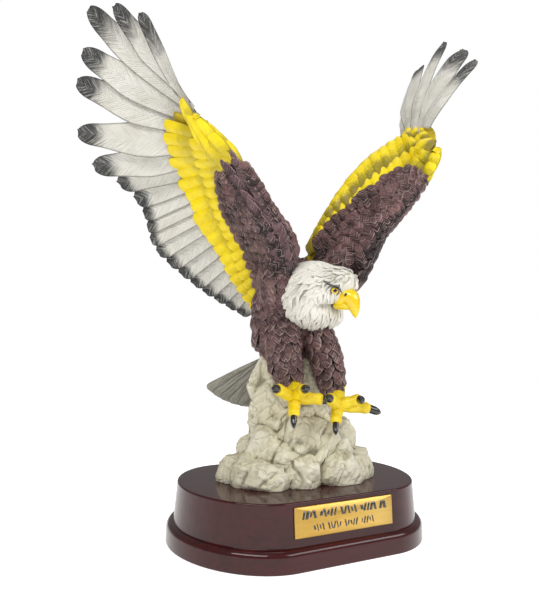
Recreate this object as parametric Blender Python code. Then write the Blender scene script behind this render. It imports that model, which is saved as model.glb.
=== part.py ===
"""Eagle trophy: a painted resin eagle with raised wings, landing on a rock, on a gloss plinth.

Run inside Blender. Metres, +Z up, the plinth stands on Z = 0 and its long front faces -Y.
"""

import math

import bmesh
import bpy
import numpy as np
from mathutils import Matrix, Vector

# Plinth, in metres.
plinth_length = 0.190
plinth_depth = 0.140
plinth_straight = 0.078
plinth_height = 0.0415
step_height = 0.0143
step_inset = 0.0053
wall_taper = 0.0023
foot_round = 0.0009
step_round = 0.0045
top_round = 0.0012
end_segments = 12

# Name plate, in metres.
plate_width = 0.0769
plate_height = 0.0195
plate_thickness = 0.0010
plate_bevel = 0.0006
plate_middle_x = -0.001
plate_middle_z = 0.0290

# Gap between pieces that touch, in metres.
touch_gap = 0.0003

# The figure keeps its pose. Its sizes are in figure units, of which it is figure_units high.
figure_height = 0.3540
figure_units = 354.0
flat_angle = 3.0
unit = figure_height / figure_units

# Feathers and wings, in figure units.
blade_thickness = 1.7
blade_tilt = 1.3
first_half_width = 7.0
primary_half_width = 12.0
secondary_half_width = 8.2
feather_count = 20
first_secondary = 7
crest_share = 0.22
wing_bulge = 7.0
outer_covert_reach = 0.50
inner_covert_reach = 0.37
arm_feather_reach = 0.23
outer_covert_thickness = 3.2
inner_covert_thickness = 5.0
arm_feather_thickness = 7.2
scallop_depth = 0.045

# Body, head, tail and rock, in figure units.
body_sides = 16
thigh_sides = 10
row_flare = 0.11
tuft_drop = 4.5
head_turn = math.radians(21)
toe_radius = 4.3
toe_sides = 5
tail_feather_count = 7
tail_length = 63.0
tail_half_angle = math.radians(45)
rock_seed = 11

# Right wing: span station, leading edge, crest of the arm. The tips follow on their own.
right_arm = [
    (0, (-101, -28, 250), (-98, -16, 259)),
    (3, (-91, -30, 238), (-84, -12, 246)),
    (6, (-77, -33, 222), (-67, -10, 230)),
    (10, (-60, -34, 203), (-50, -8, 209)),
    (14, (-43, -30, 184), (-32, -7, 190)),
    (17, (-30, -24, 168), (-18, -8, 171)),
    (20, (-18, -10, 146), (-6, 2, 155)),
]
right_tips = [
    (0, (-127, -8, 312)),
    (1, (-137, 20, 326)),
    (2, (-148, 48, 333)),
    (3, (-148, 64, 308)),
    (4, (-149, 75, 289)),
    (5, (-146, 82, 253)),
    (6, (-133, 84, 229)),
    (7, (-113, 84, 218)),
    (12, (-82, 80, 166)),
    (15, (-54, 74, 142)),
    (20, (-8, 60, 113)),
]

# Left wing, raised a little higher and seen from its back.
left_arm = [
    (0, (88, -46, 250), (88, -36, 261)),
    (3, (86, -50, 239), (86, -26, 260)),
    (6, (84, -46, 227), (81, -15, 254)),
    (10, (75, -44, 211), (59, -8, 236)),
    (14, (61, -38, 192), (36, -4, 207)),
    (17, (50, -29, 177), (27, 4, 186)),
    (20, (38, -18, 150), (19, 12, 161)),
]
left_tips = [
    (0, (125, -54, 317)),
    (1, (136, -30, 336)),
    (2, (142, -2, 354)),
    (3, (137, 25, 337)),
    (4, (136, 40, 306)),
    (5, (146, 46, 262)),
    (6, (146, 50, 235)),
    (8, (125, 55, 205)),
    (11, (106, 57, 175)),
    (15, (68, 58, 143)),
    (20, (22, 56, 113)),
]


def clear_scene():
    for old in list(bpy.data.objects):
        bpy.data.objects.remove(old, do_unlink=True)
    for old_mesh in list(bpy.data.meshes):
        bpy.data.meshes.remove(old_mesh)


def paint(name, colour, roughness, metallic=0.0, coat=0.0):
    material = bpy.data.materials.new(name)
    material.use_nodes = True
    shader = material.node_tree.nodes["Principled BSDF"]
    shader.inputs["Base Color"].default_value = (*colour, 1.0)
    shader.inputs["Roughness"].default_value = roughness
    shader.inputs["Metallic"].default_value = metallic
    shader.inputs["Coat Weight"].default_value = coat
    material.diffuse_color = (*colour, 1.0)
    return material


def show_piece(name, points, faces, material):
    """Links a mesh object made from points and faces, with its faces turned outwards."""
    mesh = bpy.data.meshes.new(name)
    mesh.from_pydata([tuple(point) for point in points], [], faces)
    work = bmesh.new()
    work.from_mesh(mesh)
    bmesh.ops.recalc_face_normals(work, faces=work.faces)
    work.to_mesh(mesh)
    work.free()
    piece = bpy.data.objects.new(name, mesh)
    bpy.context.scene.collection.objects.link(piece)
    if material is not None:
        mesh.materials.append(material)
    return piece


def unit_vector(vector):
    vector = np.asarray(vector, float)
    return vector / np.linalg.norm(vector)


# Plinth


def rounded_outline(inset):
    """The plinth's outline: straight long sides with half-ellipse ends, drawn in by inset."""
    half_straight = plinth_straight / 2
    end_reach = plinth_length / 2 - half_straight - inset
    half_depth = plinth_depth / 2 - inset
    outline = []
    for side in (1, -1):
        for step in range(end_segments + 1):
            angle = math.pi * step / end_segments - math.pi / 2
            x = side * (half_straight + end_reach * math.cos(angle))
            outline.append((x, side * half_depth * math.sin(angle)))
    return outline


def rounded_levels(z_low, z_high, inset_low, inset_high, round_low, round_high):
    """Levels (height, inset) of a wall with a quarter round at the foot and at the shoulder."""
    levels = []
    for step in range(3):
        angle = math.pi / 2 * step / 2
        rise = round_low * (1 - math.cos(angle))
        levels.append((z_low + rise, inset_low + round_low * (1 - math.sin(angle))))
    for step in range(4):
        angle = math.pi / 2 * step / 3
        drop = round_high * (1 - math.sin(angle))
        levels.append((z_high - drop, inset_high + round_high * (1 - math.cos(angle))))
    return levels


def make_plinth(material):
    levels = rounded_levels(0.0, step_height, 0.0, 0.0003, foot_round, step_round)
    levels += rounded_levels(
        step_height, plinth_height, step_inset, step_inset + wall_taper, 0.0, top_round
    )[2:]
    points = []
    faces = []
    size = len(rounded_outline(0.0))
    for height, inset in levels:
        points += [(x, y, height) for x, y in rounded_outline(inset)]
    for level in range(len(levels) - 1):
        low = level * size
        for index in range(size):
            following = (index + 1) % size
            faces.append((low + index, low + following, low + size + following, low + size + index))
    faces.append(tuple(range(size)))
    faces.append(tuple(range(len(points) - size, len(points))))
    plinth = show_piece("plinth", points, faces, material)
    smooth_round_parts(plinth, 28)
    return plinth


def smooth_round_parts(piece, degrees):
    limit = math.radians(degrees)
    work = bmesh.new()
    work.from_mesh(piece.data)
    for face in work.faces:
        face.smooth = True
    for edge in work.edges:
        edge.smooth = edge.calc_face_angle(math.pi) < limit
    work.to_mesh(piece.data)
    work.free()


def make_name_plate(material):
    """A thin bevelled plate, leaned back with the tapered front wall that it is stuck to."""
    half_width = plate_width / 2
    half_height = plate_height / 2
    points = []
    for depth, bevel in ((0.0, 0.0), (plate_thickness - plate_bevel, 0.0), (plate_thickness, plate_bevel)):
        for side_x, side_z in ((-1, -1), (1, -1), (1, 1), (-1, 1)):
            points.append((side_x * (half_width - bevel), -depth, side_z * (half_height - bevel)))
    faces = [(0, 1, 2, 3), (8, 9, 10, 11)]
    for low in (0, 4):
        for index in range(4):
            following = (index + 1) % 4
            faces.append((low + index, low + following, low + 4 + following, low + 4 + index))
    plate = show_piece("name_plate", points, faces, material)
    wall_height = plinth_height - step_height
    lean = math.atan2(wall_taper, wall_height)
    up_share = (plate_middle_z - step_height) / wall_height
    wall_y = -plinth_depth / 2 + step_inset + wall_taper * up_share
    plate.rotation_euler = (-lean, 0.0, 0.0)
    plate.location = (plate_middle_x, wall_y - touch_gap / math.cos(lean), plate_middle_z)
    return plate


# Shells: closed shapes, in figure units, that the casting is joined from


class Shells:
    """Gathers closed shells as one object each, ready to be joined."""

    def __init__(self, collection_name):
        self.collection = bpy.data.collections.new(collection_name)
        bpy.context.scene.collection.children.link(self.collection)
        self.pieces = []

    def add(self, points, faces):
        scaled = np.asarray(points, float) * unit
        scaled[:, 2] += plinth_height + touch_gap
        mesh = bpy.data.meshes.new("shell")
        mesh.from_pydata([tuple(point) for point in scaled], [], faces)
        work = bmesh.new()
        work.from_mesh(mesh)
        bmesh.ops.recalc_face_normals(work, faces=work.faces)
        bmesh.ops.triangulate(work, faces=work.faces)
        if work.calc_volume(signed=True) < 0:
            bmesh.ops.reverse_faces(work, faces=work.faces)
        work.to_mesh(mesh)
        work.free()
        shell = bpy.data.objects.new("shell", mesh)
        shell.hide_render = True
        shell.display_type = "WIRE"
        self.collection.objects.link(shell)
        self.pieces.append(shell)

    def add_loft(self, rings):
        """A closed skin over rings of equal point counts. A ring of one point is a tip."""
        points = []
        faces = []
        starts = []
        for ring in rings:
            starts.append((len(points), len(ring)))
            points += [tuple(point) for point in ring]
        for (low, low_size), (high, high_size) in zip(starts, starts[1:]):
            size = max(low_size, high_size)
            for index in range(size):
                following = (index + 1) % size
                if low_size == 1:
                    faces.append((low, high + following, high + index))
                elif high_size == 1:
                    faces.append((low + index, low + following, high))
                else:
                    faces.append(
                        (low + index, low + following, high + following, high + index)
                    )
        for start, size in (starts[0], starts[-1]):
            if size > 1:
                middle = len(points)
                ring = np.array(points[start:start + size])
                points.append(tuple(ring.mean(axis=0)))
                for index in range(size):
                    faces.append((start + index, start + (index + 1) % size, middle))
        self.add(points, faces)

    def add_hull(self, cloud):
        """The convex block round a cloud of points."""
        work = bmesh.new()
        for point in cloud:
            work.verts.new(point)
        bmesh.ops.convex_hull(work, input=work.verts)
        loose = [vertex for vertex in work.verts if not vertex.link_faces]
        bmesh.ops.delete(work, geom=loose, context="VERTS")
        work.verts.index_update()
        points = [tuple(vertex.co) for vertex in work.verts]
        faces = [tuple(vertex.index for vertex in face.verts) for face in work.faces]
        work.free()
        self.add(points, faces)

    def add_ball(self, middle, radii, turn=0.0, level=1):
        work = bmesh.new()
        bmesh.ops.create_icosphere(work, subdivisions=level, radius=1.0)
        place = Matrix.Translation(Vector(middle)) @ Matrix.Rotation(turn, 4, "Z")
        place = place @ Matrix.Diagonal((*radii, 1.0))
        bmesh.ops.transform(work, matrix=place, verts=work.verts)
        points = [tuple(vertex.co) for vertex in work.verts]
        faces = [tuple(vertex.index for vertex in face.verts) for face in work.faces]
        work.free()
        self.add(points, faces)

    def join(self, name, material):
        """One solid from all the shells, by Boolean union."""
        seed_mesh = self.pieces[0].data.copy()
        joined = bpy.data.objects.new(name, seed_mesh)
        bpy.context.scene.collection.objects.link(joined)
        first = self.pieces.pop(0)
        bpy.data.objects.remove(first, do_unlink=True)
        union = joined.modifiers.new("join", "BOOLEAN")
        union.operation = "UNION"
        union.operand_type = "COLLECTION"
        union.collection = self.collection
        # The exact solver leaves four open edges on these shells, this one none.
        union.solver = "MANIFOLD"
        flatten = joined.modifiers.new("flatten", "DECIMATE")
        flatten.decimate_type = "DISSOLVE"
        flatten.angle_limit = math.radians(flat_angle)
        graph = bpy.context.evaluated_depsgraph_get()
        baked = bpy.data.meshes.new_from_object(joined.evaluated_get(graph))
        joined.modifiers.clear()
        fill_closed_hollows(baked)
        joined.data = baked
        baked.name = name
        baked.materials.clear()
        baked.materials.append(material)
        for shell in self.pieces:
            bpy.data.objects.remove(shell, do_unlink=True)
        bpy.data.collections.remove(self.collection)
        return joined


def fill_closed_hollows(mesh):
    """Takes out the inward-facing skins that a union leaves where shells enclose a hollow."""
    work = bmesh.new()
    work.from_mesh(mesh)
    left = set(work.faces)
    inside = []
    while left:
        island = []
        waiting = [left.pop()]
        while waiting:
            face = waiting.pop()
            island.append(face)
            for edge in face.edges:
                for other in edge.link_faces:
                    if other in left:
                        left.remove(other)
                        waiting.append(other)
        volume = 0.0
        for face in island:
            corners = [vertex.co for vertex in face.verts]
            for second, third in zip(corners[1:], corners[2:]):
                volume += corners[0].dot(second.cross(third))
        if volume <= 0.0:
            inside += island
    bmesh.ops.delete(work, geom=inside, context="FACES")
    loose = [vertex for vertex in work.verts if not vertex.link_faces]
    bmesh.ops.delete(work, geom=loose, context="VERTS")
    work.to_mesh(mesh)
    work.free()


def along(rows, column, station):
    """The point of a table column at a span station, by straight steps between its rows."""
    stations = [row[0] for row in rows]
    return np.array([np.interp(station, stations, [row[column][axis] for row in rows]) for axis in range(3)])


def turned_frame(direction, side_hint):
    """Side and normal directions square to a direction."""
    direction = unit_vector(direction)
    side = np.asarray(side_hint, float)
    side = unit_vector(side - direction * np.dot(side, direction))
    return side, np.cross(direction, side)


def round_ring(middle, side, normal, radius_side, radius_normal, count, start=0.0):
    angles = start + np.arange(count) * 2 * math.pi / count
    spread = np.outer(np.cos(angles) * radius_side, side)
    return np.asarray(middle, float) + spread + np.outer(np.sin(angles) * radius_normal, normal)


# Wings


class Wing:
    """The arched surface of one wing, read by span station and share of the chord."""

    def __init__(self, arm, tips, first_inset):
        self.arm = arm
        self.tips = tips
        self.first_inset = first_inset

    def bases(self, station):
        lead = along(self.arm, 1, station)
        crest = along(self.arm, 2, station)
        tip = along(self.tips, 1, station)
        chord = unit_vector(tip - lead)
        rise = crest - lead
        dorsal = unit_vector(rise - chord * np.dot(rise, chord))
        return lead, crest, tip, chord, dorsal

    def surface(self, station, share):
        lead, crest, tip, chord, dorsal = self.bases(station)
        if share <= crest_share:
            return lead + (crest - lead) * share / crest_share
        beyond = (share - crest_share) / (1 - crest_share)
        pull = (crest + tip) / 2 + dorsal * wing_bulge
        return (
            crest * (1 - beyond) ** 2
            + pull * 2 * beyond * (1 - beyond)
            + tip * beyond**2
        )


def add_flight_feather(shells, wing, index):
    """A long blade with a raised shaft, one edge lifted over the next feather."""
    primary = index < first_secondary
    widest = primary_half_width if primary else secondary_half_width
    shares = (0.26, 0.56, 0.87, 0.965, 1.0)
    fullness = (0.9, 1.0, 0.95, 0.66, 0.0)
    rings = []
    for share, full in zip(shares, fullness):
        middle = wing.surface(index, share)
        if full == 0.0:
            rings.append([middle])
            continue
        ahead = wing.surface(index, min(share + 0.04, 1.0))
        back = wing.surface(index, share - 0.04)
        neighbour = wing.surface(min(index + 1, feather_count), share)
        before = wing.surface(max(index - 1, 0), share)
        spacing = np.linalg.norm(neighbour - before) / 2
        side, normal = turned_frame(ahead - back, neighbour - before)
        if np.dot(normal, wing.bases(index)[4]) < 0:
            normal = -normal
        half = full * min(widest, max(0.66 * spacing, 5.0))
        if index == 0:
            half = full * first_half_width
            middle = middle + side * wing.first_inset * (1 - share)
        thick = blade_thickness * (1.15 - 0.5 * share)
        lift = normal * blade_tilt
        rings.append(
            [
                middle - side * half + lift,
                middle + normal * thick,
                middle + side * half - lift,
                middle - normal * thick,
            ]
        )
    shells.add_loft(rings)


def add_covert_sleeve(shells, wing, reach, thickness, count, first, last):
    """A row of short feathers wrapped round the leading edge, with a scalloped rear edge."""
    rings = []
    for step in range(2 * count + 1):
        station = first + (last - first) * step / (2 * count)
        full = step % 2 == 1
        end = reach if full else reach - scallop_depth
        swell = thickness if full else 0.8 * thickness
        lead, crest, tip, chord, dorsal = wing.bases(station)
        edge = wing.surface(station, end)
        under = (lead * 0.55 + edge * 0.45) - dorsal * swell * 0.8
        over = wing.surface(station, crest_share + (end - crest_share) * 0.5)
        rings.append(
            [
                lead - chord * swell,
                under,
                edge - dorsal * 1.6,
                edge + dorsal * 1.6,
                over + dorsal * swell * 0.8,
                crest + dorsal * swell,
            ]
        )
    shells.add_loft(rings)


def add_wing(shells, arm, tips, first_inset):
    wing = Wing(arm, tips, first_inset)
    for index in range(feather_count):
        add_flight_feather(shells, wing, index)
    add_covert_sleeve(shells, wing, outer_covert_reach, outer_covert_thickness, 11, 0.0, 19.6)
    add_covert_sleeve(shells, wing, inner_covert_reach, inner_covert_thickness, 10, 0.3, 19.8)
    add_covert_sleeve(shells, wing, arm_feather_reach, arm_feather_thickness, 8, 4.5, 20.0)
    lead, crest, tip, chord, dorsal = wing.bases(1.2)
    shells.add_ball((lead + crest) / 2, (6, 7, 9), 0.4)


# Body, thighs, tail, head


def add_feather_rows(shells, stations, sides, side_hint, rows, drop):
    """A limb of shingled feather rows. Stations hold the middle, side radius and depth radius."""
    path = np.array([station[0] for station in stations], float)
    widths = [station[1] for station in stations]
    depths = [station[2] for station in stations]
    shares = np.linspace(0, 1, len(stations))

    def at(share):
        middle = np.array([np.interp(share, shares, path[:, axis]) for axis in range(3)])
        return middle, np.interp(share, shares, widths), np.interp(share, shares, depths)

    rings = []
    for row in range(rows):
        start = row / rows
        end = (row + 1) / rows
        direction = at(min(end, 1.0))[0] - at(start)[0]
        side, normal = turned_frame(direction, side_hint)
        turn = math.pi / sides * (row % 2)
        middle, wide, deep = at(start + 0.02)
        rings.append(round_ring(middle, side, normal, wide, deep, sides, turn))
        middle, wide, deep = at(end - 0.02)
        flared = round_ring(
            middle, side, normal, wide * (1 + row_flare), deep * (1 + row_flare), sides, turn
        )
        points = flared + unit_vector(direction) * drop * (np.arange(sides) % 2)[:, None]
        rings.append(points)
    rings.append([path[-1] + unit_vector(path[-1] - path[-2]) * widths[-1] * 0.6])
    shells.add_loft(rings)


def add_body(shells):
    add_feather_rows(
        shells,
        [
            ((2, 8, 156), 11, 9),
            ((1, 5, 146), 21, 15),
            ((-3, 3, 130), 27, 21),
            ((-6, 3, 114), 27, 24),
            ((-7, 4, 100), 26, 24),
            ((-7, 7, 86), 22, 20),
            ((-5, 11, 70), 12, 14),
        ],
        body_sides,
        (1.0, -0.2, 0.0),
        8,
        4.0,
    )


def add_thighs(shells):
    for hip, knee in (((-16, -8, 106), (-17, -22, 68)), ((9, -15, 104), (9, -29, 64))):
        hip = np.array(hip, float)
        knee = np.array(knee, float)
        stations = [
            (hip, 12, 14),
            (hip * 0.65 + knee * 0.35, 14, 15),
            (hip * 0.3 + knee * 0.7, 11.5, 12),
            (knee, 7, 7),
        ]
        add_feather_rows(shells, stations, thigh_sides, (1.0, -0.2, 0.0), 4, 3.5)


def add_shoulders(shells):
    for inner, middle, outer in (
        ((-8, 4, 116), (-15, 0, 138), (-26, -12, 166)),
        ((8, 6, 118), (22, 0, 142), (40, -14, 168)),
    ):
        stations = [(inner, 21, 20), (middle, 17, 15), (outer, 6, 6)]
        add_feather_rows(shells, stations, thigh_sides, (0.5, 0.8, 0.0), 3, 2.5)


def add_tail(shells):
    """A fan of feathers from the lower back, down and to the rear."""
    root = np.array((-8.0, 13.0, 92.0))
    straight = unit_vector((0.12, 0.64, -0.76))
    across = turned_frame(straight, (-0.98, 0.2, 0.0))[0]
    for index in range(tail_feather_count):
        spread = (index / (tail_feather_count - 1) - 0.5) * 2 * tail_half_angle
        direction = straight * math.cos(spread) + across * math.sin(spread)
        side, normal = turned_frame(direction, across * math.cos(spread) - straight * math.sin(spread))
        rings = []
        for share, half in ((0.0, 3.5), (0.5, 7.0), (0.93, 9.0)):
            middle = root + direction * tail_length * share
            lift = normal * blade_tilt
            rings.append(
                [
                    middle - side * half + lift,
                    middle + normal * 2.2,
                    middle + side * half - lift,
                    middle - normal * 2.2,
                ]
            )
        rings.append([root + direction * tail_length])
        shells.add_loft(rings)


def head_frame():
    ahead = np.array((math.sin(head_turn), -math.cos(head_turn), 0.0))
    right = np.array((-ahead[1], ahead[0], 0.0)) * -1
    return ahead, right, np.array((0.0, 0.0, 1.0))


def add_head(shells):
    """Neck and skull in rows of pointed tufts, with brows, eyes and a hooked beak."""
    ahead, right, up = head_frame()
    skull = np.array((5.5, -22.0, 137.0))
    rows = [
        (skull + up * 21 - ahead * 2, 6, 7, 0),
        (skull + up * 16 - ahead * 2, 17, 17, 1),
        (skull + up * 10 - ahead * 2, 21, 21, 0),
        (skull + up * 2 - ahead * 2, 25, 24, 1),
        (skull - up * 3 - ahead * 3, 23.5, 22, 0),
        (skull - up * 10 - ahead * 5, 27, 25, 1),
        (skull - up * 14 - ahead * 6, 25, 23, 0),
        (skull - up * 21 - ahead * 8, 28, 26, 1),
        (skull - up * 25 - ahead * 8, 19, 18, 0),
    ]
    sides = 14
    rings = [[skull + up * 22.5 - ahead * 2]]
    for index, (middle, wide, deep, flared) in enumerate(rows):
        ring = round_ring(middle, right, ahead, wide, deep, sides, (index // 2 % 2) * math.pi / sides)
        if flared:
            ring = ring - up * tuft_drop * (np.arange(sides) % 2)[:, None]
        rings.append(ring)
    shells.add_loft(rings)
    eye_ahead, eye_out, eye_up = 15.5, 12.0, -1.0
    for hand in (1, -1):
        eye = skull + ahead * eye_ahead + right * hand * eye_out + up * eye_up
        shells.add_ball(eye, (4.2, 4.2, 4.2), 0.3)
        start = eye + up * 5 - ahead * 4 + right * hand * 1.5
        end = eye + up * 2.2 + ahead * 7 - right * hand * 3
        side, normal = turned_frame(end - start, up)
        shells.add_loft(
            [
                round_ring(start, side, normal, 1.0, 1.5, 5),
                round_ring((start + end) / 2 + up * 0.8, side, normal, 2.2, 3.2, 5),
                round_ring(end, side, normal, 1.4, 1.6, 5),
            ]
        )
    base = skull + ahead * 17 - up * 6
    hook = [
        (base - ahead * 4, 10.0, 8.6, 0),
        (base + ahead * 3, 9.0, 7.6, 10),
        (base + ahead * 8 - up * 2, 7.2, 6.0, 38),
        (base + ahead * 11 - up * 7, 5.4, 4.4, 66),
        (base + ahead * 12 - up * 12, 3.2, 2.6, 88),
    ]
    rings = []
    for middle, tall, wide, degrees in hook:
        bend = math.radians(degrees)
        direction = ahead * math.cos(bend) - up * math.sin(bend)
        rings.append(round_ring(middle, right, np.cross(right, direction), wide, tall * 0.8, 7))
    rings.append([base + ahead * 11 - up * 17])
    shells.add_loft(rings)
    jaw = base - up * 8
    shells.add_loft(
        [
            round_ring(jaw - ahead * 6, right, up, 6.5, 3.0, 6),
            round_ring(jaw + ahead * 2, right, up, 4.8, 2.6, 6),
            [jaw + ahead * 8 - up * 2.5],
        ]
    )


# Feet


def add_toe(shells, palm, ball, claw_tip, radius):
    """One toe with a swollen pad at its end, and the curved claw that grows from it."""
    palm = np.asarray(palm, float)
    ball = np.asarray(ball, float)
    claw_tip = np.asarray(claw_tip, float)
    side, normal = turned_frame(ball - palm, (0.3, 0.2, 1.0))
    rings = [
        round_ring(palm, side, normal, radius, radius, toe_sides),
        round_ring(palm * 0.6 + ball * 0.4, side, normal, radius * 1.05, radius * 1.05, toe_sides),
        round_ring(palm * 0.35 + ball * 0.65, side, normal, radius * 0.85, radius * 0.85, toe_sides),
        round_ring(ball, side, normal, radius * 1.1, radius * 1.1, toe_sides),
        [ball + unit_vector(ball - palm) * radius],
    ]
    shells.add_loft(rings)
    reach = claw_tip - ball
    outward = unit_vector(ball - palm)
    rings = []
    for share, thick in ((0.0, 0.75), (0.4, 0.62), (0.75, 0.36)):
        middle = ball + reach * share + outward * radius * 2.0 * share * (1 - share)
        side, normal = turned_frame(reach, outward)
        rings.append(round_ring(middle, side, normal, radius * thick, radius * thick, toe_sides))
    rings.append([claw_tip])
    shells.add_loft(rings)


def add_feet(shells):
    feet = [
        (
            (-15, -22, 70),
            (-25, -38, 62),
            [
                ((-42, -46, 69), (-47, -50, 77)),
                ((-27, -54, 68), (-27, -64, 73)),
                ((-10, -48, 62), (-3, -52, 60)),
                ((-31, -48, 52), (-34, -54, 43)),
            ],
        ),
        (
            (15, -30, 66),
            (7, -43, 56),
            [
                ((-9, -56, 63), (-13, -62, 70)),
                ((15, -58, 62), (16, -67, 66)),
                ((25, -50, 53), (35, -53, 50)),
                ((0, -52, 46), (-4, -58, 37)),
            ],
        ),
    ]
    for knee, palm, toes in feet:
        knee = np.array(knee, float)
        palm = np.array(palm, float)
        side, normal = turned_frame(palm - knee, (1, 0, 0))
        shells.add_loft(
            [
                round_ring(knee, side, normal, 6.4, 6.4, 7),
                round_ring((knee + palm) / 2, side, normal, 5.6, 5.6, 7),
                round_ring(palm, side, normal, 6.6, 6.6, 7),
                [palm + (palm - knee) * 0.2],
            ]
        )
        for ball, claw_tip in toes:
            add_toe(shells, palm, ball, claw_tip, toe_radius)


# Rock


def add_rock(shells):
    """Boulders round the foot, leaning slabs above them and two upright spires."""
    chance = np.random.default_rng(rock_seed)

    def block(low, high, low_radii, high_radii, count=6):
        cloud = []
        low = np.array(low, float)
        high = np.array(high, float)
        for share, pinch in ((0.0, 0.88), (0.55, 1.0), (1.0, 0.86)):
            middle = low * (1 - share) + high * share
            radii = np.array(low_radii) * (1 - share) + np.array(high_radii) * share
            for index in range(count):
                angle = 2 * math.pi * (index + chance.uniform(-0.3, 0.3)) / count
                reach = chance.uniform(0.88, 1.08) * pinch
                lift = chance.uniform(-2.0, 2.0) if share > 0 else 0.0
                cloud.append(
                    (
                        middle[0] + radii[0] * reach * math.cos(angle),
                        middle[1] + radii[1] * reach * math.sin(angle),
                        max(0.0, middle[2] + lift),
                    )
                )
        shells.add_hull(cloud)

    block((5, 0, 0), (2, 4, 22), (50, 33), (40, 25), 9)
    block((4, 3, 14), (-1, 8, 50), (40, 24), (22, 14), 8)
    block((2, 6, 36), (1, 8, 88), (27, 14), (13, 8), 7)
    block((-20, 8, 36), (-21, 10, 85), (13, 12), (6, 6))
    block((-28, 4, 24), (-29, 8, 66), (11, 10), (6, 7))
    block((34, 0, 12), (27, 2, 40), (17, 14), (10, 9))
    block((22, 4, 24), (18, 4, 62), (14, 12), (9, 8))
    ring = [
        (-46, 8, 12, 14, 10),
        (-42, -10, 11, 12, 13),
        (-27, -22, 15, 13, 15),
        (-6, -28, 13, 12, 12),
        (15, -28, 16, 13, 17),
        (37, -22, 15, 14, 14),
        (50, -6, 14, 15, 13),
        (41, 18, 16, 14, 14),
        (12, 26, 18, 12, 15),
        (-18, 26, 18, 12, 17),
        (-39, 20, 12, 12, 16),
    ]
    for x, y, radius_x, radius_y, top in ring:
        block((x, y, 0), (x, y * 0.96, top), (radius_x, radius_y), (radius_x * 0.6, radius_y * 0.6))
    block((-24, -8, 10), (-22, -2, 32), (14, 12), (9, 7))
    block((14, -14, 12), (14, -6, 36), (20, 11), (12, 6))


def make_eagle(material):
    shells = Shells("casting shells")
    add_body(shells)
    add_thighs(shells)
    add_shoulders(shells)
    add_wing(shells, right_arm, right_tips, 13.0)
    add_wing(shells, left_arm, left_tips, 0.0)
    add_tail(shells)
    add_head(shells)
    add_feet(shells)
    add_rock(shells)
    return shells.join("eagle", material)


def main():
    clear_scene()
    make_plinth(paint("rosewood gloss", (0.045, 0.012, 0.014), 0.12, 0.0, 1.0))
    make_name_plate(paint("brushed brass", (0.62, 0.42, 0.13), 0.32, 1.0))
    make_eagle(paint("painted resin", (0.13, 0.06, 0.06), 0.6))


main()
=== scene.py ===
import math
import bpy
import numpy as np
from mathutils import Matrix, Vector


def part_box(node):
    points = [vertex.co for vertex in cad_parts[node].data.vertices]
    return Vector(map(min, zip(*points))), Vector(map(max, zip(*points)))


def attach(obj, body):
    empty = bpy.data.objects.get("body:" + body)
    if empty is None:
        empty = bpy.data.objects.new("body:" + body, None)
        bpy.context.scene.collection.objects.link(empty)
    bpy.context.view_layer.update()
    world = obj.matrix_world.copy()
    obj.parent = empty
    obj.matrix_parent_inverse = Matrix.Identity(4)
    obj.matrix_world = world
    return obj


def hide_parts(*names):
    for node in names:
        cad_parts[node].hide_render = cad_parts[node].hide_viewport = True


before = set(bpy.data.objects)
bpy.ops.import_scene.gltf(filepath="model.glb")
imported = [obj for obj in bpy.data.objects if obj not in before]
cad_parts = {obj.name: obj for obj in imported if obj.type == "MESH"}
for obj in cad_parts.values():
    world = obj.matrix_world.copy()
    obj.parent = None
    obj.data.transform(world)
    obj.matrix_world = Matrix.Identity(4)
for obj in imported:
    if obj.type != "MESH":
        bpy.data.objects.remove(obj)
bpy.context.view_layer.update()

unit = 0.001  # the figure's own unit, one millimetre
touchGap = 0.0003  # open joint between pieces that stand on or against each other, in metres
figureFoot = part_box("plinth")[1].z + touchGap  # the figure stands on the plinth
up = np.array((0.0, 0.0, 1.0))


# Numbers and directions

# Length one: each vector divided by its own length.
def unitRows(vectors):
    return vectors / np.maximum(np.linalg.norm(vectors, axis=-1, keepdims=True), 1e-9)


# Dot product of vectors, kept as a last axis of one number.
def dotRows(first, second):
    return (first * second).sum(axis=-1, keepdims=True)


# Smooth step: 0 below low, 1 above high, 3t^2 - 2t^3 between.
def smoothStep(low, high, value):
    part = np.clip((value - low) / (high - low), 0.0, 1.0)
    return part * part * (3 - 2 * part)


# Cubic curve through a table's rows: each slope comes from the neighbouring rows, and two rows are joined by the
# Hermite blend of their values and slopes.
def along(places, values, at):
    places = np.asarray(places, float)
    values = np.asarray(values, float)
    flat = values.reshape(len(places), -1)
    slopes = np.gradient(flat, places, axis=0)
    at = np.asarray(at, float)
    cell = np.clip(np.searchsorted(places, at, side="right") - 1, 0, len(places) - 2)
    width = (places[cell + 1] - places[cell])[..., None]
    part = np.clip((at - places[cell])[..., None] / width, -0.3, 1.3)
    rest = 1 - part
    blend = (1 + 2 * part) * rest**2 * flat[cell] + part * rest**2 * width * slopes[cell]
    blend = blend + part**2 * (3 - 2 * part) * flat[cell + 1]
    blend = blend - part**2 * rest * width * slopes[cell + 1]
    return blend.reshape(at.shape + values.shape[1:])


# One column of a table, read as a cubic curve over the table's first column.
def readTable(table, column, at):
    return along([row[0] for row in table], [row[column] for row in table], at)


# Smooth noise from -1 to 1: random numbers at the corners of a lattice, blended by smooth step inside each cell.
def latticeNoise(points, scale, seed):
    place = points * scale + seed * 17.31
    cell = np.floor(place).astype(np.int64)
    part = place - cell
    part = part * part * (3 - 2 * part)
    total = 0.0
    for corner in range(8):
        offset = np.array([(corner >> axis) & 1 for axis in range(3)])
        key = (cell + offset) @ np.array([73856093, 19349663, 83492791]) % 100003
        chance = np.sin(key * 12.9898 + seed) * 43758.5453
        chance = (chance - np.floor(chance)) * 2 - 1
        total = total + chance * np.prod(np.where(offset, part, 1 - part), axis=-1)
    return total


# Mesh shells

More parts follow.
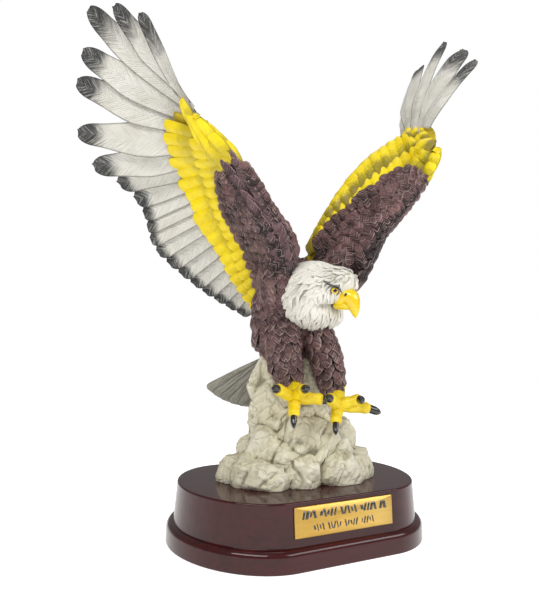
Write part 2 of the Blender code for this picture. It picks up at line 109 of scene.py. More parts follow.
class Skin:
    # Gathers the closed shells of one piece, with named numbers at their points, and puts them into one mesh.
    def __init__(self, *names):
        self.names = names
        self.points = []
        self.faces = []
        self.values = {name: [] for name in names}
        self.count = 0

    # Shells of one build: a shell whose signed volume is negative is inside out, so its faces are reversed.
    def add(self, points, faces, **values):
        shells, size = points.shape[:2]
        local = points - points.mean(axis=1, keepdims=True)
        volume = np.zeros(shells)
        for a, b, c in ((0, 1, 2), (0, 2, 3)):
            use = faces[faces[:, c] >= 0]
            corner = np.cross(local[:, use[:, b]], local[:, use[:, c]])
            volume += np.einsum("fij,fij->f", local[:, use[:, a]], corner)
        turned = np.where(faces[:, 3:4] < 0, faces[:, [2, 1, 0, 3]], faces[:, ::-1])
        pick = np.where((volume < 0)[:, None, None], turned[None], faces[None])
        offset = self.count + size * np.arange(shells)[:, None, None]
        self.faces.append(np.where(pick < 0, -1, pick + offset).reshape(-1, 4))
        self.points.append(points.reshape(-1, 3))
        for name in self.names:
            self.values[name].append(np.broadcast_to(values[name], (shells, size)).reshape(-1))
        self.count += shells * size

    # One mesh of all the shells: the figure's points are scaled to metres and lifted onto the plinth.
    def finish(self, name, material, inFigure=True):
        points = np.concatenate(self.points)
        if inFigure:
            points = points * unit + np.array((0.0, 0.0, figureFoot))
        faces = np.concatenate(self.faces)
        sizes = np.where(faces[:, 3] < 0, 3, 4)
        corners = faces.reshape(-1)
        corners = corners[corners >= 0].astype(np.int32)
        starts = np.concatenate(([0], np.cumsum(sizes)[:-1])).astype(np.int32)
        mesh = bpy.data.meshes.new(name)
        mesh.vertices.add(len(points))
        mesh.vertices.foreach_set("co", points.reshape(-1))
        mesh.loops.add(len(corners))
        mesh.loops.foreach_set("vertex_index", corners)
        mesh.polygons.add(len(faces))
        mesh.polygons.foreach_set("loop_start", starts)
        mesh.polygons.foreach_set("use_smooth", np.ones(len(faces), bool))
        for key in self.names:
            layer = mesh.attributes.new(key, "FLOAT", "POINT")
            layer.data.foreach_set("value", np.concatenate(self.values[key]).astype(np.float32))
        mesh.update(calc_edges=True)
        mesh.materials.append(material)
        piece = bpy.data.objects.new(name, mesh)
        bpy.context.scene.collection.objects.link(piece)
        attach(piece, "root")
        print("made", name, len(faces), "faces")
        return piece


# Faces of a closed tube: quads between neighbouring rings, and a fan to one more point at each end.
def tubeFaces(rings, around):
    low = np.arange(rings - 1)[:, None] * around + np.arange(around)
    nextLow = np.arange(rings - 1)[:, None] * around + (np.arange(around) + 1) % around
    walls = np.stack((low, nextLow, nextLow + around, low + around), axis=-1).reshape(-1, 4)
    first = np.arange(around)
    second = (first + 1) % around
    last = (rings - 1) * around
    whole = np.ones(around, int)
    foot = np.stack((second, first, rings * around * whole, -whole), axis=-1)
    head = np.stack((first + last, second + last, (rings * around + 1) * whole, -whole), axis=-1)
    return np.concatenate((walls, foot, head))


# One closed shell from its rings: the two end points are given, or else the means of the first and the last ring.
def addRings(skin, rings, ends=None, **values):
    if ends is None:
        ends = rings[[0, -1]].mean(axis=1)
    points = np.concatenate((rings.reshape(-1, 3), np.reshape(ends, (2, 3))))
    skin.add(points[None], tubeFaces(*rings.shape[:2]), **values)


# Tube along a path: a ring at each point, side radius times cos^square and outward radius times sin^square.
def addTube(skin, path, side, wide, tall, around, square=1.0):
    ahead = unitRows(np.gradient(path, axis=0))
    side = unitRows(side - ahead * dotRows(side, ahead))
    out = np.cross(ahead, side)
    angle = np.arange(around) * 2 * math.pi / around
    c, s = (np.sign(wave) * np.abs(wave) ** square for wave in (np.cos(angle), np.sin(angle)))
    rings = path[:, None] + side[:, None] * (wide[:, None] * c)[..., None]
    rings = rings + out[:, None] * (tall[:, None] * s)[..., None]
    addRings(skin, rings, (path[0] - ahead[0] * 0.02, path[-1] + ahead[-1] * 0.02))


featherValues = ("reach", "across", "rim", "root", "tip", "seed")
# section: power of the vane's thickness; underShaft: share of the shaft's ridge that shows underneath;
# point: how far the end point lies past the last ring; crowding: power that draws the steps to the tip;
# lastStep: where the steps end
bladeShape = {"section": 2.5, "underShaft": 0.4, "point": 0.2, "crowding": 1.35, "lastStep": 0.992}


# Blades: across v from -1 to 1, a point is path + side * half width * v + outwards * (camber * (1 - v^2) + thickness
# + shaft ridge), and the underside is the same with the thickness taken off.
def addBlades(skin, path, side, out, half, look, seed, tipLength=1.0):
    feathers, rows = half.shape
    columns = look["columns"]
    ahead = unitRows(np.gradient(path, axis=1))
    side = unitRows(side - ahead * dotRows(side, ahead))
    lift = np.cross(ahead, side)
    lift = lift * np.where(dotRows(lift, out) < 0, -1.0, 1.0)
    v = np.sin(np.linspace(-1, 1, columns) * math.pi / 2)
    wide = half[..., None]
    crown = wide * (look["camber"] * (1 - v**2) + look.get("tilt", 0.0) * v)
    body = look["thick"] * (1 - np.abs(v) ** bladeShape["section"]) * np.minimum(1.0, wide / wide.max())
    shaft = look.get("shaft", 0.0) * np.exp(-(wide * v / look.get("shaftWidth", 0.7)) ** 2)
    centre = path[:, :, None] + side[:, :, None] * (wide * v)[..., None]
    top = centre + lift[:, :, None] * (crown + body + shaft)[..., None]
    low = centre + lift[:, :, None] * (crown - body - bladeShape["underShaft"] * shaft)[..., None]
    rings = np.concatenate((top, low[:, :, -2:0:-1]), axis=2)
    around = rings.shape[2]
    end = path[:, -1:] + ahead[:, -1:] * bladeShape["point"]
    points = np.concatenate((rings.reshape(feathers, -1, 3), path[:, :1], end), axis=1)
    steps = np.linalg.norm(np.diff(path, axis=1), axis=-1)
    reach = np.concatenate((np.cumsum(steps[:, ::-1], axis=1)[:, ::-1], np.zeros((feathers, 1))), axis=1)
    ringV = np.concatenate((v, v[-2:0:-1]))
    across = wide * ringV
    rim = wide * (1 - np.abs(ringV))
    root = np.linspace(1, 0, rows)[None, :, None] * np.ones((feathers, 1, around))

    # One number for each point: the rings' values, then the values of the two end points.
    def whole(values, foot, head):
        flat = np.broadcast_to(values, (feathers, rows, around)).reshape(feathers, -1)
        ends = [np.broadcast_to(end, (feathers, 1)) for end in (foot, head)]
        return np.concatenate((flat, *ends), axis=1)

    length = whole(reach[..., None], reach[:, :1], 0.0)
    skin.add(
        points,
        tubeFaces(rows, around),
        reach=length,
        across=whole(across, 0.0, 0.0),
        rim=whole(rim, half[:, :1], 0.0),
        root=whole(root, 1.0, 0.0),
        tip=length / np.reshape(tipLength, (-1, 1)),
        seed=np.broadcast_to(seed[:, None], (feathers, points.shape[1])),
    )


# Width along a feather: it widens by smooth step from its root, stays full, and rounds off at the tip as
# (1 - t^power)^(1/2).
def featherOutline(along01, look):
    rise = look["rootWidth"] + (1 - look["rootWidth"]) * smoothStep(0.0, look["rise"], along01)
    past = np.clip((along01 - look["tipStart"]) / (1 - look["tipStart"]), 0, 1)
    return rise * np.sqrt(np.clip(1 - past ** look["tipPower"], 0.0, 1.0))


# Steps along a feather, closer together at the tip: 1 - (1 - t)^crowding.
def featherSteps(rows):
    steps = np.linspace(0, 1, rows)
    return np.minimum(1 - (1 - steps) ** bladeShape["crowding"], bladeShape["lastStep"])


# A set of feathers on a face: face(a, b, height) is a point of the surface, each feather runs at a = place
# from b = front to b = rear and its height goes from root to tip.
def layFeathers(skin, face, outward, places, front, rear, spacing, look, seedStart):
    chance = np.random.default_rng(seedStart)

    # Random share from -1 to 1 for each feather, times a setting.
    def uneven(key):
        return chance.uniform(-1, 1, (len(places), 1)) * look.get(key, 0.0)

    steps = featherSteps(look["rows"])[None]
    spacing = np.reshape(spacing, (-1, 1))
    drift = uneven("wobble") * spacing
    length = (rear - front)[:, None] * (1 + uneven("ragged"))
    a = places[:, None] + (drift + np.reshape(look.get("sweep", 0.0), (-1, 1))) * steps
    b = front[:, None] + length * steps
    spread = look["tipHeight"] - look["rootHeight"]
    height = look["rootHeight"] + spread * steps + uneven("unevenHeight") * steps
    path = face(a, b, height)
    side = face(a + 0.5 * spacing, b, height) - face(a - 0.5 * spacing, b, height)
    gap = np.linalg.norm(side, axis=-1).mean(axis=1, keepdims=True)
    half = gap * look["width"] * (1 + uneven("uneven"))
    half = np.minimum(half, look.get("widest", 99.0)) * featherOutline(steps, look)
    addBlades(skin, path, side, outward(a, b), half, look, chance.uniform(0, 1, len(places)))


# Paint

# Linear colour of a screen colour from 0 to 255: ((c + 0.055) / 1.055) ^ 2.4.
def tone(red, green, blue):
    return tuple(((c / 255 + 0.055) / 1.055) ** 2.4 for c in (red, green, blue)) + (1.0,)


class Wire:
    # A value on its way through a material: arithmetic on it adds Math nodes, step() a smooth step from 0 to 1.
    def __init__(self, paint, socket):
        self.paint = paint
        self.socket = socket

    def maths(self, operation, *values):
        return self.paint.node("ShaderNodeMath", {"operation": operation}, values)

    def __add__(self, other):
        return self.maths("ADD", self, other)

    def __radd__(self, other):
        return self.maths("ADD", other, self)

    def __sub__(self, other):
        return self.maths("SUBTRACT", self, other)

    def __rsub__(self, other):
        return self.maths("SUBTRACT", other, self)

    def __mul__(self, other):
        return self.maths("MULTIPLY", self, other)

    def __abs__(self):
        return self.maths("ABSOLUTE", self)

    def sine(self):
        return self.maths("SINE", self)

    def step(self, low, high):
        settings = {"interpolation_type": "SMOOTHSTEP"}
        inputs = {"Value": self, "From Min": low, "From Max": high}
        return self.paint.node("ShaderNodeMapRange", settings, inputs)


class Paint:
    # One material: node() makes any node, the rest are short names for the ones used most.
    def __init__(self, name, **constants):
        self.material = bpy.data.materials.new(name)
        self.material.use_nodes = True
        self.tree = self.material.node_tree
        self.shader = self.tree.nodes["Principled BSDF"]
        for key, value in constants.items():
            self.shader.inputs[key.replace("_", " ")].default_value = value

    # A new node with its settings and inputs, each a wire or a constant; gives back one of its outputs.
    def node(self, kind, settings, inputs, output=0):
        made = self.tree.nodes.new(kind)
        for key, value in settings.items():
            setattr(made, key, value)
        pairs = inputs.items() if isinstance(inputs, dict) else enumerate(inputs)
        for key, value in pairs:
            if isinstance(value, Wire):
                self.tree.links.new(value.socket, made.inputs[key])
            else:
                made.inputs[key].default_value = value
        return Wire(self, made.outputs[output])

    # A number that the mesh carries at each point.
    def value(self, name):
        return self.node("ShaderNodeAttribute", {"attribute_name": name}, (), "Fac")

    def place(self):
        return self.node("ShaderNodeTexCoord", {}, (), "Object")

    def vector(self, x, y, z):
        return self.node("ShaderNodeCombineXYZ", {}, (x, y, z))

    # Fractal noise, mostly from 0.3 to 0.7.
    def noise(self, place, scale, detail, rough, warp=0.0):
        inputs = {"Vector": place, "Scale": scale, "Detail": detail, "Roughness": rough, "Distortion": warp}
        return self.node("ShaderNodeTexNoise", {}, inputs, "Fac")

    # Colour first * (1 - factor) + second * factor.
    def mix(self, factor, first, second):
        return self.node("ShaderNodeMix", {"data_type": "RGBA"}, {0: factor, 6: first, 7: second}, 2)

    # Wires into the shader's inputs.
    def feed(self, **links):
        for key, wire in links.items():
            self.tree.links.new(wire.socket, self.shader.inputs[key.replace("_", " ")])

    def bump(self, height, distance):
        self.feed(Normal=self.node("ShaderNodeBump", {}, {"Height": height, "Distance": distance}))


# Painted feather: base colour mottled by noise; a dark wash that is also painted shade, in the barb grooves and
# towards the covered root;
# painted shade along edges that the next feather lies over; a lighter dry-brushed rim and barb ridges that are also
# painted highlight; and a dark tip that breaks up into streaks along the barbs.
def featherPaint(name, look):
    paint = Paint(name, Roughness=look["roughness"], Specular_IOR_Level=0.4)
    reach = paint.value("reach")
    across = paint.value("across")
    rim = paint.value("rim")
    root = paint.value("root")
    seed = paint.value("seed")
    place = paint.place()
    patch = paint.noise(place, 60.0, 4.0, 0.6)
    grain = paint.noise(place, 700.0, 3.0, 0.6)
    slanted = reach + abs(across) * look["slant"]
    grooves = paint.vector(slanted * look["streak"], across * look.get("acrossScale", 0.1), seed * 91.0)
    streak = paint.noise(grooves, 1.0, 4.0, 0.7)
    phase = slanted * (2 * math.pi / look["pitch"]) + patch * 9.0 + streak * 5.0 + seed * 40.0
    barb = (phase.sine() * 0.5 + 0.5) * look["regular"] + streak * (1.2 - look["regular"])
    colour = paint.mix(patch.step(0.3, 0.7), look["base"], look["second"])
    # painted shade: the barb grooves are darkened towards the wash colour, a wash that also stands in for shade in the
    # relief
    colour = paint.mix((1.0 - barb.step(0.2, 0.62)) * look["grooveWashAndShade"], colour, look["washAndShade"])
    # painted shade: darker towards the covered root, where the feather above overlaps, together with the dark wash
    covered = (root + (patch - 0.5) * 0.5 + (grain - 0.5) * 0.35).step(look["washAndShadeFrom"], look["washAndShadeTo"])
    colour = paint.mix(covered * look["rootWashAndShade"], colour, look["washAndShade"])
    # painted shade along the feather's edges, where the neighbouring feather lies over it
    if look.get("edgeShade", 0.0) > 0:
        edge = 1.0 - (rim + (grain - 0.5) * 0.6).step(0.1, look["edgeWidth"])
        colour = paint.mix(edge * look["edgeShade"], colour, look["washAndShade"])
    # dry-brushed rim and barb ridges: lighter paint that is also painted highlight
    rimWidth = look["rimWidth"]
    raised = 1.0 - (rim + (grain - 0.5) * rimWidth).step(0.15 * rimWidth, rimWidth)
    raised = raised * (patch + grain * 0.6).step(0.35, 0.9) * (1.0 - root.step(0.55, 0.9))
    raised = raised + barb.step(0.58, 0.86) * look.get("barbLight", 0.3)
    colour = paint.mix(raised * look["rimAmount"], colour, look["rimColour"])
    if look.get("tipAmount", 0.0) > 0:
        ragged = look["tipBreak"]
        dark = paint.value("tip") + (streak - 0.5) * ragged + (patch - 0.5) * ragged * 0.8
        dark = (1.0 - dark.step(0.45, 1.2)) * (1.0 - (streak + grain * 0.25).step(0.62, 0.82) * 0.6)
        colour = paint.mix(dark * look["tipAmount"], colour, look["tipColour"])
    paint.feed(Base_Color=colour)
    paint.bump(barb * look["barbDepth"] + grain * 0.12 + patch * 0.15, look["bump"])
    return paint.material


# Feather looks: the wash colour is a dark wash and painted shade in grooves, at covered roots and along overlapped
# edges; the rim colour and barb light are dry-brushed paint and painted highlight.
flightLook = {
    "base": tone(244, 242, 234), "second": tone(234, 231, 220), "washAndShade": tone(122, 115, 100),
    "grooveWashAndShade": 0.6, "washAndShadeFrom": 0.6, "washAndShadeTo": 1.05, "rootWashAndShade": 0.45, "rimWidth": 1.2,
    "edgeShade": 0.95, "edgeWidth": 1.3, "rimAmount": 0.2, "rimColour": tone(244, 243, 238),
    "roughness": 0.55, "slant": 1.5, "pitch": 2.4, "streak": 1.0, "regular": 0.22, "tipBreak": 0.9,
    "tipAmount": 0.96, "tipColour": tone(38, 40, 44), "barbDepth": 1.2, "bump": 0.0011,
}
yellowLook = {
    "base": tone(248, 224, 0), "second": tone(234, 206, 0), "washAndShade": tone(104, 94, 30),
    "grooveWashAndShade": 0.22, "washAndShadeFrom": 0.46, "washAndShadeTo": 0.80, "rootWashAndShade": 0.85, "rimWidth": 1.0,
    "rimAmount": 0.35, "rimColour": tone(246, 222, 40), "roughness": 0.40, "slant": 1.2, "pitch": 2.6,
    "streak": 0.8, "regular": 0.2, "barbDepth": 0.5, "bump": 0.00035,
}
brownLook = {
    "base": tone(138, 100, 99), "second": tone(74, 47, 50), "washAndShade": tone(14, 7, 9),
    "grooveWashAndShade": 0.85, "washAndShadeFrom": 0.45, "washAndShadeTo": 0.9, "rootWashAndShade": 0.9, "rimWidth": 0.9, "barbLight": 0.9,
    "rimAmount": 0.95, "rimColour": tone(216, 188, 182), "roughness": 0.5, "slant": 1.0, "pitch": 2.0,
    "streak": 0.9, "regular": 0.1, "barbDepth": 1.3, "bump": 0.0024,
}
mauveLook = dict(brownLook, base=tone(128, 98, 102), second=tone(98, 70, 75), rimColour=tone(190, 158, 158),
                 rootWashAndShade=0.7)
tailLook = dict(flightLook, base=tone(232, 229, 216), second=tone(202, 198, 184), tipAmount=0.1, grooveWashAndShade=0.9,
                slant=0.0, streak=0.02, acrossScale=0.6, regular=0.0, barbDepth=1.6, bump=0.003)
headLook = {
    "base": tone(231, 228, 219), "second": tone(215, 212, 200), "washAndShade": tone(164, 159, 142),
    "grooveWashAndShade": 0.25, "washAndShadeFrom": 0.5, "washAndShadeTo": 1.0, "rootWashAndShade": 0.75, "rimWidth": 0.7,
    "rimAmount": 0.5, "rimColour": tone(248, 247, 243), "roughness": 0.55, "slant": 0.6, "pitch": 2.2,
    "streak": 1.0, "regular": 0.1, "barbDepth": 0.35, "bump": 0.0003,
}
yellowUnderLook = dict(yellowLook, rootWashAndShade=0.4, edgeShade=0.5, edgeWidth=0.6)
flightPaint = featherPaint("painted white flight feathers", flightLook)
yellowPaint = featherPaint("painted yellow coverts", yellowLook)
yellowUnderPaint = featherPaint("painted yellow under coverts", yellowUnderLook)
brownPaint = featherPaint("dry-brushed brown feathers with painted shade and highlight", brownLook)
mauvePaint = featherPaint("dry-brushed mauve feathers with painted shade and highlight", mauveLook)
tailPaint = featherPaint("washed and shaded tail feathers", tailLook)
headPaint = featherPaint("painted white head feathers", headLook)


# Plain painted resin: two tones mottled by noise, fine grain in the bump.
def plainPaint(name, first, second, roughness, coat=0.0, scale=90.0, bump=0.0003):
    paint = Paint(name, Roughness=roughness, Coat_Weight=coat, Coat_Roughness=0.15)
    place = paint.place()
    patch = paint.noise(place, scale, 4.0, 0.6)
    grain = paint.noise(place, scale * 8, 3.0, 0.6)
    mottle = patch * 0.7 + grain * 0.3
    paint.feed(Base_Color=paint.mix(mottle.step(0.35, 0.65), first, second))
    paint.bump(mottle, bump)
    return paint.material


brownCorePaint = plainPaint("dark resin under the feathers", tone(58, 36, 40), tone(42, 26, 30), 0.7)
yellowCorePaint = plainPaint("yellow resin under the coverts", tone(206, 180, 6), tone(160, 134, 14), 0.6)
whiteCorePaint = plainPaint("white resin under the locks", tone(228, 225, 214), tone(212, 208, 195), 0.65)
print("paints made")


# Wings

crestShare = 0.22  # share of the chord at which the arm's crest lies
wingBulge = 7.0  # how far the middle surface is pulled out between the crest and the tips

# Station 0 is the wing tip's first feather, 20 the shoulder. Rows: station, leading edge, crest of the arm; then
# station and feather tip. twist, taper and firstHalf shape the primaries, nose is the leading edge's thickness.
rightWing = {
    "arm": [
        (0, (-101, -28, 250), (-98, -16, 259)),
        (3, (-91, -30, 238), (-84, -12, 246)),
        (6, (-77, -33, 222), (-67, -10, 230)),
        (10, (-60, -34, 203), (-50, -8, 209)),
        (14, (-43, -30, 184), (-32, -7, 190)),
        (17, (-30, -24, 168), (-18, -8, 171)),
        (20, (-18, -10, 146), (-6, 2, 155)),
    ],
    "tips": [
        (0, (-127, -8, 312)), (1, (-137, 20, 326)), (2, (-148, 48, 333)), (3, (-148, 64, 308)),
        (4, (-149, 75, 289)), (5, (-146, 82, 253)), (6, (-133, 84, 229)), (7, (-113, 84, 218)),
        (12, (-82, 80, 166)), (15, (-54, 74, 142)), (20, (-8, 60, 113)),
    ],
    "firstInset": 13.0, "firstHalf": 7.5, "twist": (0.0, 0.0, 0.0), "primaryFull": 1.0, "tipStart": 0.86,
    "taper": (0.55, 0.90, 0.32), "taperShares": (0.3, 1.0, 1.0, 1.0), "scaleEdge": 0.08, "yellowStart": 3.4,
    "nose": [(0, 3.5), (8, 3.0), (14, 3.0), (17, 6.0), (20, 12.0)],
    "alula": {"first": 3.3, "last": 7.9, "step": 1.5, "length": 3.6, "widest": 4.6,
              "shares": ((-1, 0.065, 0.08), (-1, 0.015, 0.07), (-1, 0.11, 0.08), (1, 0.02, 0.05))},
}
leftWing = {
    "arm": [
        (0, (88, -46, 250), (88, -36, 261)),
        (3, (86, -50, 239), (86, -26, 260)),
        (6, (84, -46, 227), (81, -15, 254)),
        (10, (75, -44, 211), (59, -8, 236)),
        (14, (61, -38, 192), (36, -4, 207)),
        (17, (50, -29, 177), (27, 4, 186)),
        (20, (38, -18, 150), (19, 12, 161)),
    ],
    "tips": [
        (0, (125, -54, 317)), (1, (136, -30, 336)), (2, (142, -2, 354)), (3, (137, 25, 337)),
        (4, (136, 40, 306)), (5, (146, 46, 262)), (6, (146, 50, 235)), (8, (125, 55, 205)),
        (11, (106, 57, 175)), (15, (68, 58, 143)), (20, (22, 56, 113)),
    ],
    "firstInset": 0.0, "firstHalf": 8.0, "twist": (-0.32, -0.05, -0.06), "primaryFull": 0.96, "tipStart": 0.86,
    "taper": (0.30, 0.70, 0.45), "taperShares": (0.2, 0.3, 1.0, -0.4), "scaleEdge": 0.0, "yellowStart": 0.0,
    "nose": [(0, 3.0), (8, 3.0), (14, 3.5), (20, 9.0)],
    "alula": {"first": 3.4, "last": 9.2, "step": 2.2, "length": 3.4, "widest": 5.5,
              "shares": ((1, 0.05, 0.10), (-1, 0.03, 0.10), (1, 0.0, 0.10))},
}


class Wing:
    # One wing's surfaces, read by span station and share of the chord.
    def __init__(self, look):
        self.look = look

    # Leading edge, crest, tip, unit chord from edge to tip, and the unit rise of the crest across it.
    def bases(self, station):
        station = np.clip(station, -0.4, 20.4)
        lead, crest = (readTable(self.look["arm"], column, station) for column in (1, 2))
        tip = readTable(self.look["tips"], 1, station)
        chord = unitRows(tip - lead)
        rise = crest - lead
        return lead, crest, tip, chord, unitRows(rise - chord * dotRows(rise, chord))

    # Middle surface: straight from the leading edge to the crest, then a quadratic curve over to the tip.
    def middle(self, station, share):
        lead, crest, tip, chord, rise = self.bases(station)
        share = np.asarray(share, float)[..., None]
        beyond = (share - crestShare) / (1 - crestShare)
        pull = (crest + tip) / 2 + rise * wingBulge
        rear = crest * (1 - beyond) ** 2 + pull * 2 * beyond * (1 - beyond) + tip * beyond**2
        return np.where(share <= crestShare, lead + (crest - lead) * share / crestShare, rear)

    # Underside: straight from the leading edge to the middle of the chord, then the middle surface.
    def under(self, station, share):
        lead = self.bases(station)[0]
        share = np.asarray(share, float)
        edge = self.middle(station, np.full(share.shape, 0.5))
        flat = lead + (edge - lead) * share[..., None] * 2
        return np.where(share[..., None] < 0.5, flat, self.middle(station, share))

    # Outward direction: forwards at the leading edge, turning to the back (hand 1) or the underside (hand -1).
    def outward(self, station, share, hand):
        chord, rise = self.bases(station)[3:]
        turn = np.clip(np.asarray(share, float)[..., None] / 0.07, 0, 1) * math.pi / 2
        return rise * hand * np.sin(turn) - chord * np.cos(turn)

    # Covered face: the surface moved outwards by the height, and by the nose's own thickness at the leading edge.
    def face(self, station, share, height, hand):
        nose = readTable(self.look["nose"], 1, np.clip(station, 0, 20))
        swell = nose * (1 - smoothStep(0.0, 0.5, np.asarray(share, float)))
        base = self.middle(station, share) if hand > 0 else self.under(station, share)
        return base + self.outward(station, share, hand) * (np.asarray(height, float) + swell)[..., None]


# How far each layer reaches back, as (station, share of the chord), on the back and on the underside.
reachBack = {
    "far": [(0, 0.24), (3, 0.29), (6, 0.34), (10, 0.41), (15, 0.46), (20, 0.50)],
    "outer": [(0, 0.15), (3, 0.20), (6, 0.24), (10, 0.27), (15, 0.29), (20, 0.33)],
    "inner": [(0, 0.06), (3, 0.09), (6, 0.115), (8, 0.125), (10, 0.140), (13, 0.165), (15, 0.18), (20, 0.215)],
    "arm": [(0, -0.1), (6.5, 0.0), (8, 0.05), (9.5, 0.08), (11.2, 0.095), (13.2, 0.125), (15.5, 0.145), (20, 0.19)],
}
reachUnder = {
    "outer": [(-0.4, 0.03), (0, 0.05), (1, 0.14), (2, 0.25), (3.5, 0.40), (4.7, 0.47), (6.7, 0.575),
              (8.2, 0.63), (12.2, 0.635), (14.7, 0.69), (16.7, 0.76), (20, 0.88)],
    "inner": [(4, 0.16), (5.7, 0.24), (7, 0.33), (9, 0.43), (11, 0.46), (13, 0.52), (15, 0.59), (17, 0.68),
              (20, 0.80)],
    "arm": [(5, 0.0), (7.0, 0.06), (8.0, 0.16), (9, 0.27), (10.2, 0.32), (12.2, 0.39), (14, 0.45),
            (15.7, 0.52), (17.7, 0.62), (20, 0.72)],
}


# Reach of a layer at a station, by straight steps between the rows of its table.
def reachAt(table, station):
    return np.interp(station, [row[0] for row in table], [row[1] for row in table])


flightShape = {
    "count": 20, "rows": 64, "columns": 15, "primaryWidest": 12.0, "secondaryWidest": 8.4,
    "gapShare": 0.66, "narrowest": 5.0, "secondaryTipStart": 0.90,
    "tipLengths": ((0, 3, 5, 7, 9, 19), (24, 26, 22, 14, 10, 9)),
    "rootShares": ((0, 1, 3, 4), (0.24, 0.15, 0.15, 0.22)),
    "camber": 0.14, "tilt": -0.16, "thick": 0.8, "shaft": 1.0, "shaftWidth": 0.7,
    "rootWidth": 0.8, "rise": 0.5, "tipPower": 2.2, "bow": 3.0,
}


# Flight feathers: each runs along its station from the arm to its own tip, bowed sideways by a sine.
def makeFlightFeathers(name, wing):
    look = dict(flightShape, tipStart=wing.look["tipStart"])
    index = np.arange(float(look["count"]))
    column = index[:, None]
    steps = featherSteps(look["rows"])[None]
    root = np.interp(index, *look["rootShares"])[:, None]
    share = root + (1 - root) * steps
    path = wing.middle(column + 0 * share, share)
    neighbours = [wing.middle(np.clip(column + way, 0, 20) + 0 * share, share) for way in (1, -1)]
    side = neighbours[0] - neighbours[1]
    gap = np.linalg.norm(side, axis=-1) / np.where(column == 0, 1, 2)
    primary = 1 - smoothStep(5.5, 7.5, column)
    twist = np.array(wing.look["twist"]) * (1 - smoothStep(2.0, 6.0, index))[:, None, None]
    side = unitRows(unitRows(side) + twist)
    widest = look["secondaryWidest"] + (look["primaryWidest"] - look["secondaryWidest"]) * primary
    half = np.minimum(widest, np.maximum(look["gapShare"] * gap, look["narrowest"]))
    half[0] = wing.look["firstHalf"]
    half = half * wing.look["primaryFull"] ** primary
    path[0] += side[0] * (wing.look["firstInset"] * (1 - share[0]))[:, None]
    bow = look["bow"] * primary * np.sin(math.pi * share) * np.minimum(1, column / 2)
    path = path + side * bow[..., None]
    taperStart, taperEnd, taper = wing.look["taper"]
    taperShare = np.interp(index, (0, 1, 2, 3, 4), (*wing.look["taperShares"], 1.0))[:, None]
    outline = featherOutline(steps, look) * (1 - taper * taperShare * smoothStep(taperStart, taperEnd, steps))
    narrow = featherOutline(steps, dict(look, tipStart=look["secondaryTipStart"]))
    outline = outline * primary + narrow * (1 - primary)
    chance = np.random.default_rng(4).uniform(0, 1, look["count"])
    tips = np.interp(index, *look["tipLengths"]) * (0.85 + 0.3 * chance)
    skin = Skin(*featherValues)
    addBlades(skin, path, side, wing.bases(column + 0 * share)[4], half * outline, look, chance, tips)
    return skin.finish(name, flightPaint)


coreShape = {"rows": 60, "points": 20, "crowding": 1.5, "shortBy": 0.02, "endSink": 1.2, "endLength": 1.5}


# Core of the arm: closed rings of the back face and the underside face, sunk a little below the feathers and
# deeper at the first station.
def makeWingCore(name, wing, material, reachTop, reachLow, depth, first, last):
    look = coreShape
    station = np.linspace(first, last, look["rows"])
    steps = np.linspace(0, 1, look["points"]) ** look["crowding"]
    sink = depth + look["endSink"] * (1 - smoothStep(0.0, look["endLength"], station - first))[:, None]
    faces = []
    for hand, table, part in ((1, reachTop, 1 - steps), (-1, reachLow, steps[1:-1])):
        share = np.maximum(part * (reachAt(table, station)[:, None] - look["shortBy"]), 0.0)
        faces.append(wing.face(station[:, None] + 0 * share, share, 0 * share - sink, hand))
    skin = Skin()
    addRings(skin, np.concatenate(faces, axis=1))
    return skin.finish(name, material)


covertShape = {
    "rows": 12, "columns": 9, "tilt": -0.10, "thick": 0.9, "shaft": 0.2, "shaftWidth": 0.6,
    "rootWidth": 0.9, "rise": 0.3, "tipPower": 2.0, "uneven": 0.06, "ragged": 0.05, "wobble": 0.1,
    "unevenHeight": 0.25,
}
covertFields = ("rootHeight", "tipHeight", "sweep", "camber", "tipStart", "width")
# by hand: reach tables, how far each feather starts before the reach of the layer before, paint, and the rows of
# layer, layer before it, count, first and last station, and covertFields
covertRows = {
    1: (reachBack, 0.035, yellowPaint, [
        ("far", "outer", 17, 0.0, 19.8, 0.6, 1.8, -0.6, 0.20, 0.66, 0.64),
        ("outer", "inner", 17, 0.3, 19.8, 1.2, 3.2, -2.2, 0.26, 0.55, 0.74),
        ("inner", "arm", 16, 1.2, 19.6, 0.6, 4.2, -2.4, 0.30, 0.55, 0.76),
    ]),
    -1: (reachUnder, 0.07, yellowUnderPaint, [
        ("outer", "inner", 18, 4.5, 19.6, 1.2, 2.8, 0.0, 0.24, 0.91, 0.66),
        ("inner", "arm", 17, 5.2, 19.6, 1.4, 4.0, 0.0, 0.28, 0.87, 0.66),
    ]),
}


# Stations at equal steps of length along a layer's rear edge.
def evenPlaces(wing, table, hand, first, last, count):
    station = np.linspace(first, last, 200)
    share = reachAt(table, station)
    edge = wing.middle(station, share) if hand > 0 else wing.under(station, share)
    length = np.concatenate(([0.0], np.cumsum(np.linalg.norm(np.diff(edge, axis=0), axis=-1))))
    return np.interp(np.linspace(0, length[-1], count), length, station)


# Rows of feathers on one face of a wing, given as stations, front and rear shares of the chord.
def layOnWing(skin, wing, hand, places, front, rear, spacing, look, seedStart):
    layFeathers(skin, lambda a, b, h: wing.face(a, b, h, hand), lambda a, b: wing.outward(a, b, hand),
                places, front, rear, spacing, look, seedStart)


